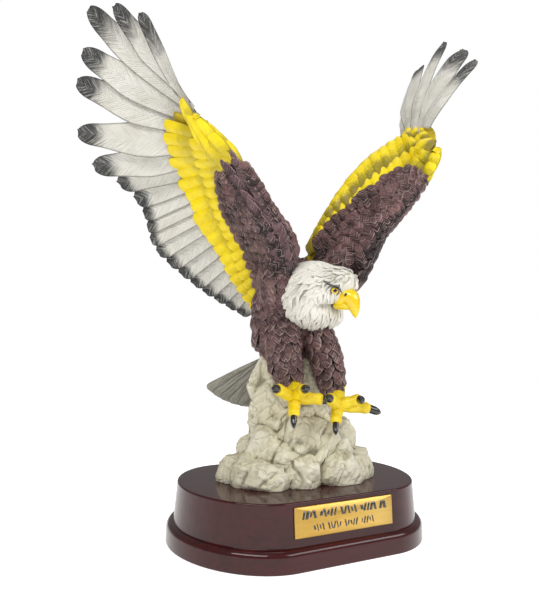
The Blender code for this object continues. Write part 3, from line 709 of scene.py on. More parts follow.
# Rows of yellow coverts, each from under the row before it to its own reach. The sweep ends short of the first
# station.
def makeCoverts(name, wing, hand):
    skin = Skin(*featherValues)
    table, tuck, paint, rows = covertRows[hand]
    for order, (layer, before, count, first, last, *fields) in enumerate(rows):
        look = dict(covertShape, **dict(zip(covertFields, fields)))
        first = max(first, wing.look["yellowStart"])
        places = evenPlaces(wing, table[layer], hand, first, last, count)
        look["sweep"] = np.maximum(look["sweep"], first - 0.2 - places)
        rear = reachAt(table[layer], places + look["sweep"])
        front = np.maximum(reachAt(table[before], places) - tuck, 0.0)
        layOnWing(skin, wing, hand, places, front, rear, np.gradient(places), look, 30 + order)
    return skin.finish(name, paint)


scaleShape = {
    "rows": 6, "columns": 7, "camber": 0.42, "tilt": 0.0, "thick": 0.8, "rootWidth": 0.8, "rise": 0.4,
    "tipStart": 0.50, "tipPower": 2.4, "width": 0.70, "uneven": 0.14, "ragged": 0.18, "wobble": 0.3,
    "rootHeight": 1.6, "tipHeight": 5.0, "unevenHeight": 0.9,
}
# by hand: reach table, number of layers, first station, count, sweep, shortest reach, width, width of the last layer
armRows = {
    1: (reachBack["arm"], 6, 8.8, 15, -1.3, 0.02, 0.76, 0.95),
    -1: (reachUnder["arm"], 5, 7.4, 17, -0.4, 0.05, 0.70, 0.74),
}
armShape = {"last": 20.2, "end": 20.4, "overlap": 0.55, "past": 0.012}


# Scale feathers of the arm: rows from the leading edge back to the coverts, each row half a step along from the
# last. The last row is more even, so that the border with the yellow coverts is clean.
def makeArmFeathers(name, wing, hand):
    skin = Skin(*featherValues)
    table, layers, first, count, sweep, shortest, width, lastWidth = armRows[hand]
    edge = 0.0 if hand > 0 else wing.look["scaleEdge"]
    step = (armShape["last"] - first) / (count - 1)
    for layer in range(layers):
        places = np.linspace(first, armShape["last"], count) + (layer % 2) * 0.5 * step
        reach = reachAt(table, places + sweep) + armShape["past"]
        keep = (places < armShape["end"]) & (reach > edge + shortest)
        places, reach = places[keep], reach[keep]
        front = np.maximum(edge + (reach - edge) * (layer - armShape["overlap"]) / layers, 0.0)
        rear = edge + (reach - edge) * (layer + 1) / layers
        look = dict(scaleShape, sweep=sweep, width=width)
        if layer == layers - 1:
            look.update(ragged=0.04, wobble=0.1, rootHeight=3.0, width=lastWidth)
        layOnWing(skin, wing, hand, places, front, rear, step, look, 50 + layer + 10 * hand)
    return skin.finish(name, brownPaint)


edgeShape = {
    "rows": 9, "columns": 7, "camber": 0.25, "tilt": 0.0, "thick": 0.9, "rootWidth": 0.7, "rise": 0.4,
    "tipStart": 0.45, "tipPower": 2.0, "width": 0.62, "uneven": 0.15, "ragged": 0.15, "wobble": 0.15,
    "rootHeight": 0.5, "tipHeight": 3.0, "unevenHeight": 0.6, "widest": 4.4,
}
mauveEdge = {"first": 8.8, "last": 21.0, "step": 1.7, "length": 3.0,
             "shares": ((-1, 0.012, 0.045), (-1, 0.055, 0.05), (-1, 0.10, 0.05), (1, 0.03, 0.03))}
alulaShape = {"camber": 0.4, "thick": 1.4, "rootHeight": 1.0, "tipHeight": 3.0, "wobble": 0.2}


# Feathers that lie along the arm's leading edge and point to the wrist: the face is read with share and station
# changed over. Each row of shares is hand, share of the chord and width of a feather as a share.
def makeEdgeFeathers(name, wing, material, line, seed, **changes):
    skin = Skin(*featherValues)
    look = dict(edgeShape, **changes)
    for order, (hand, share, width) in enumerate(line["shares"]):
        stations = np.arange(line["first"] + (order % 3) * line["step"] / 3, line["last"], line["step"])
        tips = np.maximum(stations - line["length"], -0.35)
        layFeathers(skin, lambda a, b, h: wing.face(b, np.maximum(a, 0.0), h, hand),
                    lambda a, b: wing.outward(b, a, hand), np.full(len(stations), share), stations, tips, width,
                    look, seed + order)
    return skin.finish(name, material)


for side, wing in (("right", Wing(rightWing)), ("left", Wing(leftWing))):
    makeFlightFeathers(side + "FlightFeathers", wing)
    makeWingCore(side + "CovertCore", wing, yellowCorePaint, reachBack["far"], reachUnder["outer"], 0.0,
                 wing.look["yellowStart"], 19.8)
    makeWingCore(side + "ArmCore", wing, brownCorePaint, reachBack["arm"], reachUnder["arm"], -1.2, 7.2, 20.3)
    for face, hand in (("Back", 1), ("Under", -1)):
        makeCoverts(side + face + "Coverts", wing, hand)
    for face, hand in (("Back", 1), ("Under", -1)):
        makeArmFeathers(side + face + "ArmFeathers", wing, hand)
    if side == "right":
        makeEdgeFeathers("rightEdgeFeathers", wing, mauvePaint, mauveEdge, 70)
    alula = wing.look["alula"]
    makeEdgeFeathers(side + "Alula", wing, yellowUnderPaint, alula, 90, widest=alula["widest"], **alulaShape)
print("wings made")


# Body

class Limb:
    # A rounded limb along a path of stations: middle, side radius, depth radius. Read by angle in turns and share.
    def __init__(self, stations, sideHint):
        self.table = [(place, *row) for place, row in zip(np.linspace(0, 1, len(stations)), stations)]
        self.sideHint = np.asarray(sideHint, float)

    # Middle of the ring at a share, moved out by radius times cosine along the side and sine along the depth.
    def face(self, turn, share, height):
        at = np.clip(share, -0.15, 1.15)
        middle, wide, deep = (readTable(self.table, column, at) for column in (1, 2, 3))
        ahead = unitRows(readTable(self.table, 1, at + 0.01) - middle)
        side = unitRows(self.sideHint - ahead * dotRows(self.sideHint + 0 * ahead, ahead))
        angle = turn * 2 * math.pi
        c = ((wide + height) * np.cos(angle))[..., None]
        s = ((deep + height) * np.sin(angle))[..., None]
        return middle + side * c + np.cross(ahead, side) * s

    # Outward direction: from the ring's face to the same ring made 5 mm thicker.
    def outward(self, turn, share):
        return self.face(turn, share, 5.0 + 0 * share) - self.face(turn, share, 0.0 * share)


# Closed core of a limb: its face at a depth of 1 mm, ring by ring.
def addLimbCore(skin, limb):
    share = np.linspace(0, 1, 30)[:, None] + np.zeros((30, 48))
    turn = (np.arange(48) / 48)[None] + 0 * share
    addRings(skin, limb.face(turn, share, 0 * share - 1.0))


# Rows of scale feathers round a limb: as many in each row as its girth over the wanted width.
def addScaleRows(skin, limb, rows, width, seed, last):
    chance = np.random.default_rng(seed)
    for row in range(rows):
        end = last * (row + 1) / rows
        radius = sum(readTable(limb.table, column, np.array([end]))[0] for column in (2, 3)) / 2
        count = max(6, int(round(2 * math.pi * max(radius, 3) / width)))
        places = (np.arange(count) + 0.5 * (row % 2) + chance.uniform(-0.15, 0.15, count)) / count
        front = np.full(count, end - last / rows * 1.9)
        layFeathers(skin, limb.face, limb.outward, places, front, np.full(count, end), 1 / count, bodyLook,
                    seed * 100 + row)


bodyLook = dict(scaleShape, rows=5, columns=5, rootHeight=-1.5, tipHeight=2.2, width=0.62, wobble=0.25,
                ragged=0.15)
limbs = [
    # side, rows of scales, width of a scale, seed, last share, stations: body, two thighs, two shoulders
    ((1.0, -0.2, 0.0), 12, 7.5, 3, 1.0,
     [((2, 8, 156), 11, 9), ((1, 5, 146), 20, 14), ((-3, 3, 130), 26, 20), ((-6, 3, 114), 26, 23),
      ((-9, 5, 101), 22, 17), ((-8, 7, 92), 18, 13), ((-8, 10, 82), 11, 8)]),
    ((1.0, -0.2, 0.0), 9, 6.4, 5, 1.05,
     [((-17, -8, 107), 11, 13), ((-20, -13, 93), 10.2, 12), ((-19.5, -18, 79), 8.8, 10), ((-18, -23, 67), 6.5, 6.5)]),
    ((1.0, -0.2, 0.0), 9, 6.4, 6, 1.05,
     [((7, -14, 104), 9, 12), ((11.5, -20, 89), 9.2, 11), ((12, -25, 75), 8.0, 9.5), ((11.5, -30, 62), 6.3, 6.3)]),
    ((0.5, 0.8, 0.0), 8, 8.5, 8, 1.0,
     [((-26, -12, 168), 7, 7), ((-20, -6, 152), 14, 12), ((-14, 0, 136), 18, 16), ((-8, 4, 114), 20, 20)]),
    ((0.5, 0.8, 0.0), 8, 8.5, 9, 1.0,
     [((40, -14, 170), 7, 7), ((31, -8, 156), 13, 11), ((22, 0, 142), 17, 15), ((8, 6, 118), 20, 20)]),
]
coreSkin = Skin()
scaleSkin = Skin(*featherValues)
for sideHint, rows, width, seed, last, stations in limbs:
    limb = Limb(stations, sideHint)
    addLimbCore(coreSkin, limb)
    addScaleRows(scaleSkin, limb, rows, width, seed, last)
coreSkin.finish("bodyCore", brownCorePaint)
scaleSkin.finish("bodyFeathers", brownPaint)
print("body made")


# Tail

tailShape = {
    "root": (-8.0, 13.0, 92.0), "straight": (0.12, 0.64, -0.76), "across": (-0.98, 0.2, 0.0),
    "halfWidths": (3.0, 7.0), "count": 12, "length": 64.0, "halfAngle": math.radians(46), "rows": 30, "columns": 11, "camber": 0.12,
    "tilt": -0.10, "thick": 1.0, "shaft": 1.2, "shaftWidth": 0.9, "rootWidth": 0.6, "rise": 0.6,
    "tipStart": 0.90, "tipPower": 2.5,
}


# Tail fan: straight feathers from one root, turned in even steps from side to side.
def makeTail():
    look = tailShape
    straight = unitRows(np.array(look["straight"]))
    across = np.array(look["across"])
    across = unitRows(across - straight * (across @ straight))
    spread = np.linspace(-1, 1, look["count"])[:, None] * look["halfAngle"]
    direction = np.cos(spread) * straight + np.sin(spread) * across
    side = np.cos(spread) * across - np.sin(spread) * straight
    steps = featherSteps(look["rows"])
    path = np.array(look["root"]) + direction[:, None] * (steps * look["length"])[None, :, None]
    narrow, growth = look["halfWidths"]
    half = (narrow + growth * steps) * featherOutline(steps, look) * np.ones((look["count"], 1))
    skin = Skin(*featherValues)
    addBlades(skin, path, side[:, None] + 0 * path, np.cross(straight, across) + 0 * path, half, look,
              np.linspace(0, 1, look["count"]))
    return skin.finish("tailFeathers", tailPaint)


makeTail()


# Head

headTurn = math.radians(21)
headAhead = np.array((math.sin(headTurn), -math.cos(headTurn), 0.0))
headRight = np.cross(up, headAhead) * -1
skull = np.array((5.5, -22.0, 137.0))
headShape = {
    "balls": [
        # middle (right, ahead, up) and radii of each rounded mass
        ((0, -2, -1), (20.5, 20.5, 18.0)),
        ((0, -9, 2), (21.5, 19.5, 15.5)),
        ((0, -8, -7), (23.0, 21.5, 13.5)),
        ((0, -6, -16), (20.5, 18.0, 10.0)),
        ((0, 15, 4), (12.5, 15.0, 10.5)),
        ((0, 11, -6), (14.0, 13.0, 8.0)),
    ],
    "blend": 11.0, "throat": (-0.62, 0.10, 7.0),
}


# Head surface along a direction from the skull's middle: the farthest ball surface, blended by a power mean, less a
# bell-shaped fold under the chin.
def headRadius(direction):
    local = np.stack((direction @ headRight, direction @ headAhead, direction @ up), axis=-1)
    total = 0.0
    for middle, radii in headShape["balls"]:
        middle, radii = np.array(middle, float), np.array(radii, float)
        a = ((local / radii) ** 2).sum(axis=-1)
        b = -2 * (local * middle / radii**2).sum(axis=-1)
        c = (middle**2 / radii**2).sum() - 1
        inside = np.maximum(b * b - 4 * a * c, 0.0)
        far = np.maximum((-b + np.sqrt(inside)) / (2 * a), 0.01)
        total = total + far ** headShape["blend"]
    middle, wide, deep = headShape["throat"]
    fold = np.exp(-((local[..., 2] - middle) / wide) ** 2) * smoothStep(0.15, 0.55, local[..., 1])
    return total ** (1 / headShape["blend"]) - deep * fold


# Closed ball about a middle: rings by the polar angle, radius read from a function of direction. A value that is
# asked for is the polar angle divided by the number given.
def addBall(skin, middle, radius, rings, around, axis=up, side=headRight, **values):
    polar = np.linspace(0, math.pi, rings + 2)[1:-1, None]
    angle = np.arange(around)[None, :, None] * 2 * math.pi / around
    ring = np.cos(angle) * side + np.sin(angle) * np.cross(axis, side)
    direction = np.cos(polar)[..., None] * axis + np.sin(polar)[..., None] * ring
    points = middle + direction * radius(direction)[..., None]
    poles = [middle + pole * radius(pole[None])[0] for pole in (axis, -axis)]
    turned = np.concatenate((np.repeat(polar, around), (0.0, math.pi)))
    addRings(skin, points, poles, **{key: (turned / value)[None] for key, value in values.items()})


headCore = Skin()
addBall(headCore, skull, lambda d: headRadius(d) - 1.0, 40, 56)
headCore.finish("headCore", whiteCorePaint)

lockShape = {
    "rows": 9, "columns": 5, "camber": 0.55, "thick": 0.8, "rootWidth": 0.55, "rise": 0.35, "tipStart": 0.2,
    "tipPower": 1.4, "half": 2.3, "length": 16.0, "rootHeight": -1.3, "tipHeight": 2.0, "flare": 2.6, "count": 1100,
    "sphereShare": 1.93, "jitter": 0.02, "beakLean": 0.26, "beakClear": 0.90, "chinClear": -0.86, "wave": 0.9,
}
goldenTurn = 2.399963  # radians between neighbours of an even spiral


# Head locks: each starts at a direction from the skull and is stepped backwards and downwards over the surface.
def makeLocks():
    look = lockShape
    chance = np.random.default_rng(21)
    order = np.arange(look["count"])
    # even spiral over the sphere about the beak's axis
    forward = (1 - look["sphereShare"] * (order + 0.5) / look["count"])[:, None]
    spin = (order * goldenTurn)[:, None]
    direction = forward * headAhead + np.sqrt(1 - forward**2) * (np.cos(spin) * headRight + np.sin(spin) * up)
    direction = unitRows(direction + chance.normal(0, look["jitter"], direction.shape))
    beakWay = unitRows(headAhead - up * look["beakLean"])
    direction = direction[(direction @ beakWay < look["beakClear"]) & (direction @ up > look["chinClear"])]
    count = len(direction)
    steps = featherSteps(look["rows"])
    length = look["length"] * (0.50 + 0.6 * smoothStep(0.8, -0.4, direction @ headAhead))
    length = length * chance.uniform(0.8, 1.2, count)
    wave = chance.uniform(-1, 1, count) * look["wave"]
    path = []
    here = direction
    for step, gap in zip(steps, np.diff(steps, append=steps[-1])):
        ahead, high = here @ headAhead, here @ up
        tipHeight = look["tipHeight"] * (1 - 0.55 * smoothStep(0.35, 0.85, ahead))
        height = look["rootHeight"] + (tipHeight - look["rootHeight"]) * step
        ruff = smoothStep(-0.25, -0.75, high - 0.4 * smoothStep(0.0, -0.9, ahead))
        height = height + look["flare"] * step * ruff
        path.append(skull + here * (headRadius(here) + height)[:, None])
        low = smoothStep(0.4, -0.5, high)
        flow = -headAhead * (1.0 - 0.5 * low)[:, None] - up * (0.25 + 0.95 * low)[:, None]
        flow = flow + np.cross(here, flow) * (wave * math.cos(step * 5))[:, None]
        flow = unitRows(flow - here * dotRows(flow, here))
        here = unitRows(here + flow * (gap * length / headRadius(here))[:, None])
    path = np.stack(path, axis=1)
    out = path - skull
    half = look["half"] * featherOutline(steps, look)[None] * chance.uniform(0.75, 1.25, (count, 1))
    half = half * (1 - 0.4 * smoothStep(0.35, 0.85, direction @ headAhead))[:, None]
    skin = Skin(*featherValues)
    addBlades(skin, path, np.cross(out, np.gradient(path, axis=1)), out, half, look, chance.uniform(0, 1, count))
    return skin.finish("headFeathers", headPaint)


makeLocks()

# path, jaw and nostril: ahead and up from the skull (the nostril: ahead, sideways, up)
beakLook = {
    "path": [(16.5, -7.0), (21.5, -6.4), (25, -7.0), (27.2, -9.4), (28.4, -13.0), (29.2, -16.4), (29.7, -19.0),
             (30.0, -20.8)],
    "wide": [8.0, 7.4, 6.4, 5.2, 4.0, 2.8, 1.5, 0.3],
    "tall": [7.74, 7.38, 6.48, 5.22, 3.96, 2.88, 1.71, 0.27],
    "jaw": [(15, -12.0), (21, -12.4), (26.6, -13.6)], "jawWide": [5.8, 5.4, 3.0], "jawTall": [3.0, 3.0, 1.8],
    "nostril": (25.6, 6.3, -5.0),
}
beakPaint = plainPaint("gloss yellow beak", tone(244, 214, 0), tone(232, 194, 0), 0.25, 0.6, 120.0, 0.0002)
blackPaint = plainPaint("gloss black paint", tone(16, 15, 16), tone(28, 26, 27), 0.2, 0.6, 90.0, 0.0001)


# Beak: rings along a hooked path, narrower and lower towards the tip, over a shorter jaw, with two nostril slits.
def makeBeak():
    skin = Skin()
    for keys, rows, around in ((("path", "wide", "tall"), 40, 28), (("jaw", "jawWide", "jawTall"), 20, 24)):
        places = np.linspace(0, 1, len(beakLook[keys[0]]))
        line, wide, tall = (along(places, beakLook[key], np.linspace(0, 1, rows)) for key in keys)
        addTube(skin, skull + line[:, :1] * headAhead + line[:, 1:] * up, headRight, wide, tall, around, 0.9)
    skin.finish("beak", beakPaint)
    slits = Skin()
    ahead, side, high = beakLook["nostril"]
    slitWay = unitRows(headAhead * 0.6 + up * 0.8)
    for hand in (1, -1):
        middle = skull + headAhead * ahead + headRight * hand * side + up * high
        addBall(slits, middle, lambda d: 1.3 - 0.7 * np.abs(1 - np.abs(d @ slitWay)), 10, 16)
    return slits.finish("nostrils", blackPaint)


makeBeak()

eyePaint = Paint("gloss painted eye", Roughness=0.12, Coat_Weight=1.0)
gaze = eyePaint.value("gaze")
iris = eyePaint.mix(gaze.step(0.24, 0.28), tone(12, 10, 10), tone(232, 190, 30))
iris = eyePaint.mix(gaze.step(0.50, 0.55), iris, tone(20, 17, 16))
eyePaint.feed(Base_Color=iris)
# right, ahead and up parts of each direction from the skull
eyeLook = {"way": (11.2, 22.4, -2.8), "radius": 3.5, "sink": 1.7,
           "brow": [(14.6, 12.5, 4.4), (13.6, 16.2, 2.2), (12.4, 19.6, 0.6), (10.4, 22.6, -0.9), (8.8, 24.6, -3.6)]}


# Direction from the skull with given right, ahead and up parts.
def headWay(parts, hand):
    parts = np.atleast_2d(parts)
    return unitRows(parts[:, :1] * headRight * hand + parts[:, 1:2] * headAhead + parts[:, 2:] * up)


eyes = Skin("gaze")
brows = Skin()
for hand in (1, -1):
    way = headWay(eyeLook["way"], hand)
    eyeMiddle = skull + way * (headRadius(way) - eyeLook["sink"])[..., None]
    gazeWay = unitRows(headAhead * 0.62 + headRight * hand * 0.78)
    addBall(eyes, eyeMiddle[0], lambda d: np.full(d.shape[:-1], eyeLook["radius"]), 24, 32, gazeWay, up, gaze=1.5)
    steps = np.linspace(0, 1, 24)
    browWay = headWay(along(np.linspace(0, 1, len(eyeLook["brow"])), eyeLook["brow"], steps), hand)
    browPath = skull + browWay * (headRadius(browWay) + 1.3)[:, None]
    browWide = 0.72 * np.sin(math.pi * np.clip(steps, 0.04, 0.92)) ** 0.5
    addTube(brows, browPath, up, browWide, browWide * 1.3, 12)
eyes.finish("eyes", eyePaint.material)
brows.finish("brows", blackPaint)
print("head made")


# Feet

footPaint = plainPaint("gloss yellow feet", tone(248, 222, 0), tone(234, 198, 0), 0.35, 0.3, 160.0, 0.0020)
# knee, palm, and each toe's ball and claw tip: three toes in front, then the hind toe
feet = [
    ((-15, -22, 70), (-25, -38, 62),
     [((-42, -45, 69), (-47, -52, 69)), ((-26, -52, 69), (-30, -60, 69)), ((-10, -47, 61.5), (-4, -50, 60)),
      ((-30, -46, 53), (-33, -51, 44))]),
    ((15, -30, 66), (7, -43, 56),
     [((-5, -51, 62), (-10, -58, 62)), ((17.5, -52, 60.5), (13, -60, 60)), ((27, -50, 54), (36, -53, 50)),
      ((2, -48, 47), (-2, -54, 38))]),
]
footLook = {
    "toeRadius": 3.9, "clawRadius": 2.8, "rows": 26, "around": 20, "clawAround": 16, "hindClaw": 0.72,
    "leg": ((0, 0.5, 0.9, 1.0), (6.0, 5.2, 5.2, 3.6)), "legRows": 20, "legAround": 24,
    "claw": ((0, 0.4, 0.65, 0.85, 1.0), (1.1, 1.05, 0.85, 0.5, 0.1)),
}


# Feet: a short leg, toes whose radius swells by a cosine into three pads, and claws that curve from a ball to a point.
def makeFeet():
    look = footLook
    skin = Skin()
    clawSkin = Skin()
    share = np.linspace(0, 1, look["rows"])
    for knee, palm, toes in feet:
        knee, palm = np.array(knee, float), np.array(palm, float)
        leg = knee + (palm - knee) * np.linspace(-0.1, 1.15, look["legRows"])[:, None]
        radius = np.interp(np.linspace(0, 1, look["legRows"]), *look["leg"])
        addTube(skin, leg, np.array((1.0, 0, 0)), radius, radius, look["legAround"])
        for order, (ball, claw) in enumerate(toes):
            ball, claw = np.array(ball, float), np.array(claw, float)
            way = unitRows(ball - palm)
            path = palm + (ball + way * look["toeRadius"] * 0.8 - palm) * share[:, None]
            pads = 1.15 - 0.2 * share + 0.05 * np.cos(share * 2 * math.pi * 2.5)
            close = np.sqrt(np.clip(1 - np.clip((share - 0.82) / 0.18, 0, 1) ** 2, 0.02, 1))
            radius = look["toeRadius"] * pads * close
            addTube(skin, path, up, radius, radius, look["around"])
            bend = way * look["toeRadius"] * 1.4
            clawPath = ball + (claw - ball) * share[:, None] + bend * (share * (1 - share))[:, None]
            clawRadius = look["clawRadius"] * np.interp(share, *look["claw"])
            clawRadius = clawRadius * (look["hindClaw"] if order == 3 else 1.0)
            addTube(clawSkin, clawPath, up, clawRadius, clawRadius, look["clawAround"])
    skin.finish("feet", footPaint)
    clawSkin.finish("claws", blackPaint)


makeFeet()
print("feet made")


# Rock

rockLook = {
    "rings": 190, "around": 480, "foot": -0.2, "soft": 60.0, "seed": 11, "planes": 16, "unevenPlanes": 0.16,
    "cutBack": (0.84, 1.0), "crackWidth": 1.1, "smoothing": 2, "hollowSmoothing": 30, "warp": 6,
}
# middle, radii, turn in degrees
rockBlocks = [
    ((2, 3, 10), (50, 32, 20), 0), ((1, 3, 30), (38, 24, 30), 5), ((-2, 3, 62), (19, 15, 38), -8),
    ((-19, 8, 62), (8.5, 9, 34), 20), ((-21, 4, 40), (13, 13, 30), -10), ((30, -3, 20), (19, 15, 27), 15),
    ((19, 1, 42), (15, 13, 27), -20), ((-47, 8, 3), (12, 14, 14), 0), ((-46, -7, 4), (12, 12, 16), 20),
    ((-35, -19, 4), (20, 13, 15), -29), ((-11, -28, 3), (12, 13, 17), -29), ((18, -27, 4), (21, 14, 16), -18),
    ((41, -17, 4), (15, 14, 13), 30), ((50, -4, 3), (14, 15, 12), 0), ((41, 18, 3), (16, 14, 13), 10),
    ((12, 26, 4), (18, 12, 14), 0), ((-18, 26, 4), (18, 12, 15), 25), ((-39, 20, 3), (12, 12, 14), 0),
    ((-24, -6, 18), (20, 15, 24), 12), ((12, -12, 18), (28, 15, 20), -24), ((-4, -9, 30), (22, 13, 24), 20),
    ((2, -13, 24), (25, 14, 24), 10),
]


# Smoothed grid: each value averaged with its neighbours, weights 1, 2, 1, along the rows and round the rings.
def smoothGrid(grid, sweeps):
    for sweep in range(sweeps):
        padded = np.concatenate((grid[:1], grid, grid[-1:]))
        grid = (padded[:-2] + padded[1:-1] * 2 + padded[2:]) / 4
        grid = (np.roll(grid, 1, 1) + 2 * grid + np.roll(grid, -1, 1)) / 4
    return grid


# Planes of one stone: unit normals on an uneven spiral, turned about z, and each plane's distance from the middle,
# which is that of an ellipsoid's tangent plane, cut back by a random share.
def stonePlanes(radii, turn, chance):
    count = rockLook["planes"]
    order = np.arange(count)
    height = 1 - 2 * (order + 0.5) / count
    spin = order * goldenTurn + chance.uniform(0, 6)
    flat = np.sqrt(1 - height**2)
    normals = np.stack((flat * np.cos(spin), flat * np.sin(spin), height), axis=-1)
    normals = unitRows(normals + chance.normal(0, rockLook["unevenPlanes"], (count, 3)))
    support = np.linalg.norm(normals * np.array(radii, float), axis=-1) * chance.uniform(*rockLook["cutBack"], count)
    c, s = math.cos(math.radians(turn)), math.sin(math.radians(turn))
    return normals @ np.array(((c, s, 0), (-s, c, 0), (0, 0, 1))), support


# Rock: rays fan out from a leaning axis, level at the foot and upright at the top. Each block is a soft-cornered
# many-sided stone, and a ray stops at its farthest exit. A crack is cut where two stones meet. Creases and ridged
# noise are added along the surface normal.
def makeRock(material):
    look = rockLook
    chance = np.random.default_rng(look["seed"])
    t = np.linspace(0, 0.995, look["rings"])[:, None]
    angle = (np.arange(look["around"]) * 2 * math.pi / look["around"])[None]
    lift = (t**3.2) * math.pi / 2 + 0 * angle
    start = np.stack((2 - 6 * t, 2 + 6 * t, 62 * t ** 0.9 + look["foot"]), axis=-1)
    start = start + np.zeros((1, look["around"], 1))
    way = np.stack((np.cos(lift) * np.cos(angle), np.cos(lift) * np.sin(angle), np.sin(lift)), axis=-1)
    reach = np.full(lift.shape, 2.0)
    second = reach
    for middle, radii, turn in rockBlocks:
        normals, support = stonePlanes(radii, turn, chance)
        offset = support - (start - np.array(middle, float)) @ normals.T
        speed = way @ normals.T
        out = np.where(speed > 1e-4, offset / np.maximum(speed, 1e-4), 1e6)
        entry = np.where(speed < -1e-4, offset / np.minimum(speed, -1e-4), -1e6).max(axis=-1)
        missed = ((np.abs(speed) <= 1e-4) & (offset < 0)).any(axis=-1)
        far = out.min(axis=-1)
        soft = (np.maximum(out, 0.5) ** -look["soft"]).sum(axis=-1) ** (-1 / look["soft"])
        soft = np.where((far > 0) & (entry < far) & ~missed, soft, 0.0)
        second = np.maximum(second, np.minimum(reach, soft))
        reach = np.maximum(reach, soft)
    crack = np.exp(-((reach - second) / look["crackWidth"]) ** 2)
    shallower = 1.3 * smoothStep(12.0, 24.0, (start + way * reach[..., None])[..., 2])
    blurred = smoothGrid(reach - (2.0 - shallower) * crack, look["smoothing"])
    points = start + way * blurred[..., None]
    hollow = np.clip((smoothGrid(blurred, look["hollowSmoothing"]) - blurred) / 3.0, -1, 1)
    sideways = (np.roll(points, -1, 1) - np.roll(points, 1, 1)) / 2
    normal = unitRows(np.cross(sideways, np.gradient(points, axis=0)))
    warp = np.stack([latticeNoise(points, 0.05, 3 + axis) for axis in range(3)], axis=-1) * look["warp"]
    flow = (points + warp) @ np.array(((0.9, 0.0, 0.16), (0.0, 1.0, 0.1), (-0.4, 0.0, 0.36)))
    crease = 1 - smoothStep(0.0, 0.11, np.abs(latticeNoise(flow, 0.075, 9)))
    crease = np.maximum(crease, 0.4 - 0.4 * smoothStep(0.0, 0.14, np.abs(latticeNoise(flow, 0.2, 14))))
    ridge = 1 - np.abs(latticeNoise(flow, 0.26, 19))
    coarse = latticeNoise(points, 0.09, 12)
    fine = latticeNoise(points, 0.55, 15)
    shift = 0.4 - 1.3 * crease + (ridge - 0.75) * 1.5 + coarse * 0.9 + fine * 0.3
    shift = shift * smoothStep(-1.0, 4.0, points[..., 2]) * (1 - 0.7 * smoothStep(0.9, 1.0, t))
    points = points + normal * shift[..., None]
    points[..., 2] = np.maximum(points[..., 2], look["foot"])
    # cavity: how deep a point lies in a hollow, crease or crack, or how far it lies off a ridge; the paint darkens it
    # as a wash and as painted shade
    cavity = np.clip(hollow * 0.35 + crease * 0.7 + (0.78 - ridge) * 0.8 + crack * 0.6 - 0.15, -1, 1)
    skin = Skin("cavity")
    addRings(skin, points, (np.array((2.0, 2.0, look["foot"])), points[-1].mean(axis=0)),
             cavity=np.concatenate((cavity.reshape(-1), (0.0, 0.0)))[None])
    return skin.finish("rock", material)


rockPaint = Paint("washed, shaded and highlighted beige rock", Roughness=0.62)
rockPlace = rockPaint.place()
cavity = rockPaint.value("cavity")
rockPatch = rockPaint.noise(rockPlace, 40.0, 5.0, 0.6)
rockGrain = rockPaint.noise(rockPlace, 420.0, 4.0, 0.65)
rockColour = rockPaint.mix(rockPatch.step(0.35, 0.65), tone(222, 217, 194), tone(204, 198, 172))
# a dark wash and painted shade in the hollows, creases and cracks
rockColour = rockPaint.mix((cavity + (rockGrain - 0.5) * 0.5).step(0.12, 0.9) * 0.8, rockColour, tone(112, 105, 82))
# a light dry-brush on the ridges, which is also painted highlight
rockColour = rockPaint.mix((rockGrain * 0.5 - cavity).step(0.30, 0.8) * 0.75, rockColour, tone(232, 229, 216))
rockVein = 1.0 - abs(rockPaint.noise(rockPlace, 85.0, 2.0, 0.5) - 0.5).step(0.0, 0.03)
rockColour = rockPaint.mix(rockVein * 0.22, rockColour, tone(120, 113, 90))
rockPaint.feed(Base_Color=rockColour)
rockPaint.bump(rockPatch * 0.5 + rockGrain * 0.5 - rockVein * 0.25, 0.0014)
rock = makeRock(rockPaint.material)
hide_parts("eagle")
print("rock made")


# Plinth

plinthLook = {
    "length": 0.190, "depth": 0.140, "straight": 0.078, "height": 0.0415, "stepHeight": 0.0143, "stepInset": 0.0053,
    "wallTaper": 0.0023, "footRound": 0.0009, "stepRound": 0.0045, "topRound": 0.0012, "end": 1.94, "around": 288,
}


# Outline of the plinth, drawn in by an inset: straight long sides with ends of x = reach * cos^(2/n),
# y = half depth * sin^(2/n).
def plinthOutline(inset):
    look = plinthLook
    reach = look["length"] / 2 - look["straight"] / 2 - inset
    half = look["depth"] / 2 - inset
    angle = np.linspace(-math.pi / 2, math.pi / 2, look["around"] // 2)
    c, s = np.cos(angle), np.sin(angle)
    x = look["straight"] / 2 + reach * np.abs(c) ** (2 / look["end"])
    y = half * np.sign(s) * np.abs(s) ** (2 / look["end"])
    right = np.stack((x, y), axis=-1)
    return np.concatenate((right, -right))


# Profile of the plinth: (height, inset) rows with quarter rounds at the foot, the step and the top edge.
def plinthProfile():
    look = plinthLook
    foot, step, top = look["footRound"], look["stepRound"], look["topRound"]
    stepHeight, inset, height = look["stepHeight"], look["stepInset"], look["height"]
    quarter = [(1 - math.sin(a), 1 - math.cos(a)) for a in np.linspace(0, math.pi / 2, 11)]
    rows = [(foot * late, foot * early) for early, late in quarter]
    rows += [(stepHeight - step * early, 0.0003 + step * late) for early, late in quarter]
    rows += [(stepHeight, inset - 0.0003), (stepHeight - 0.0002, inset - 0.0001), (stepHeight + 0.0004, inset)]
    inset = inset + look["wallTaper"]
    rows += [(height - top * early, inset + top * late) for early, late in quarter]
    return rows + [(height, inset + top + extra) for extra in (0.0005, 0.004, 0.02, 0.045)]


# Plinth: the profile carried round the outline, closed by a fan underneath and on top.
def makePlinth(material):
    rings = []
    for height, inset in plinthProfile():
        line = plinthOutline(inset)
        rings.append(np.column_stack((line, np.full(len(line), height))))
    skin = Skin()
    addRings(skin, np.stack(rings), ((0, 0, 0.0), (0, 0, plinthLook["height"])))
    return skin.finish("finePlinth", material, inFigure=False)


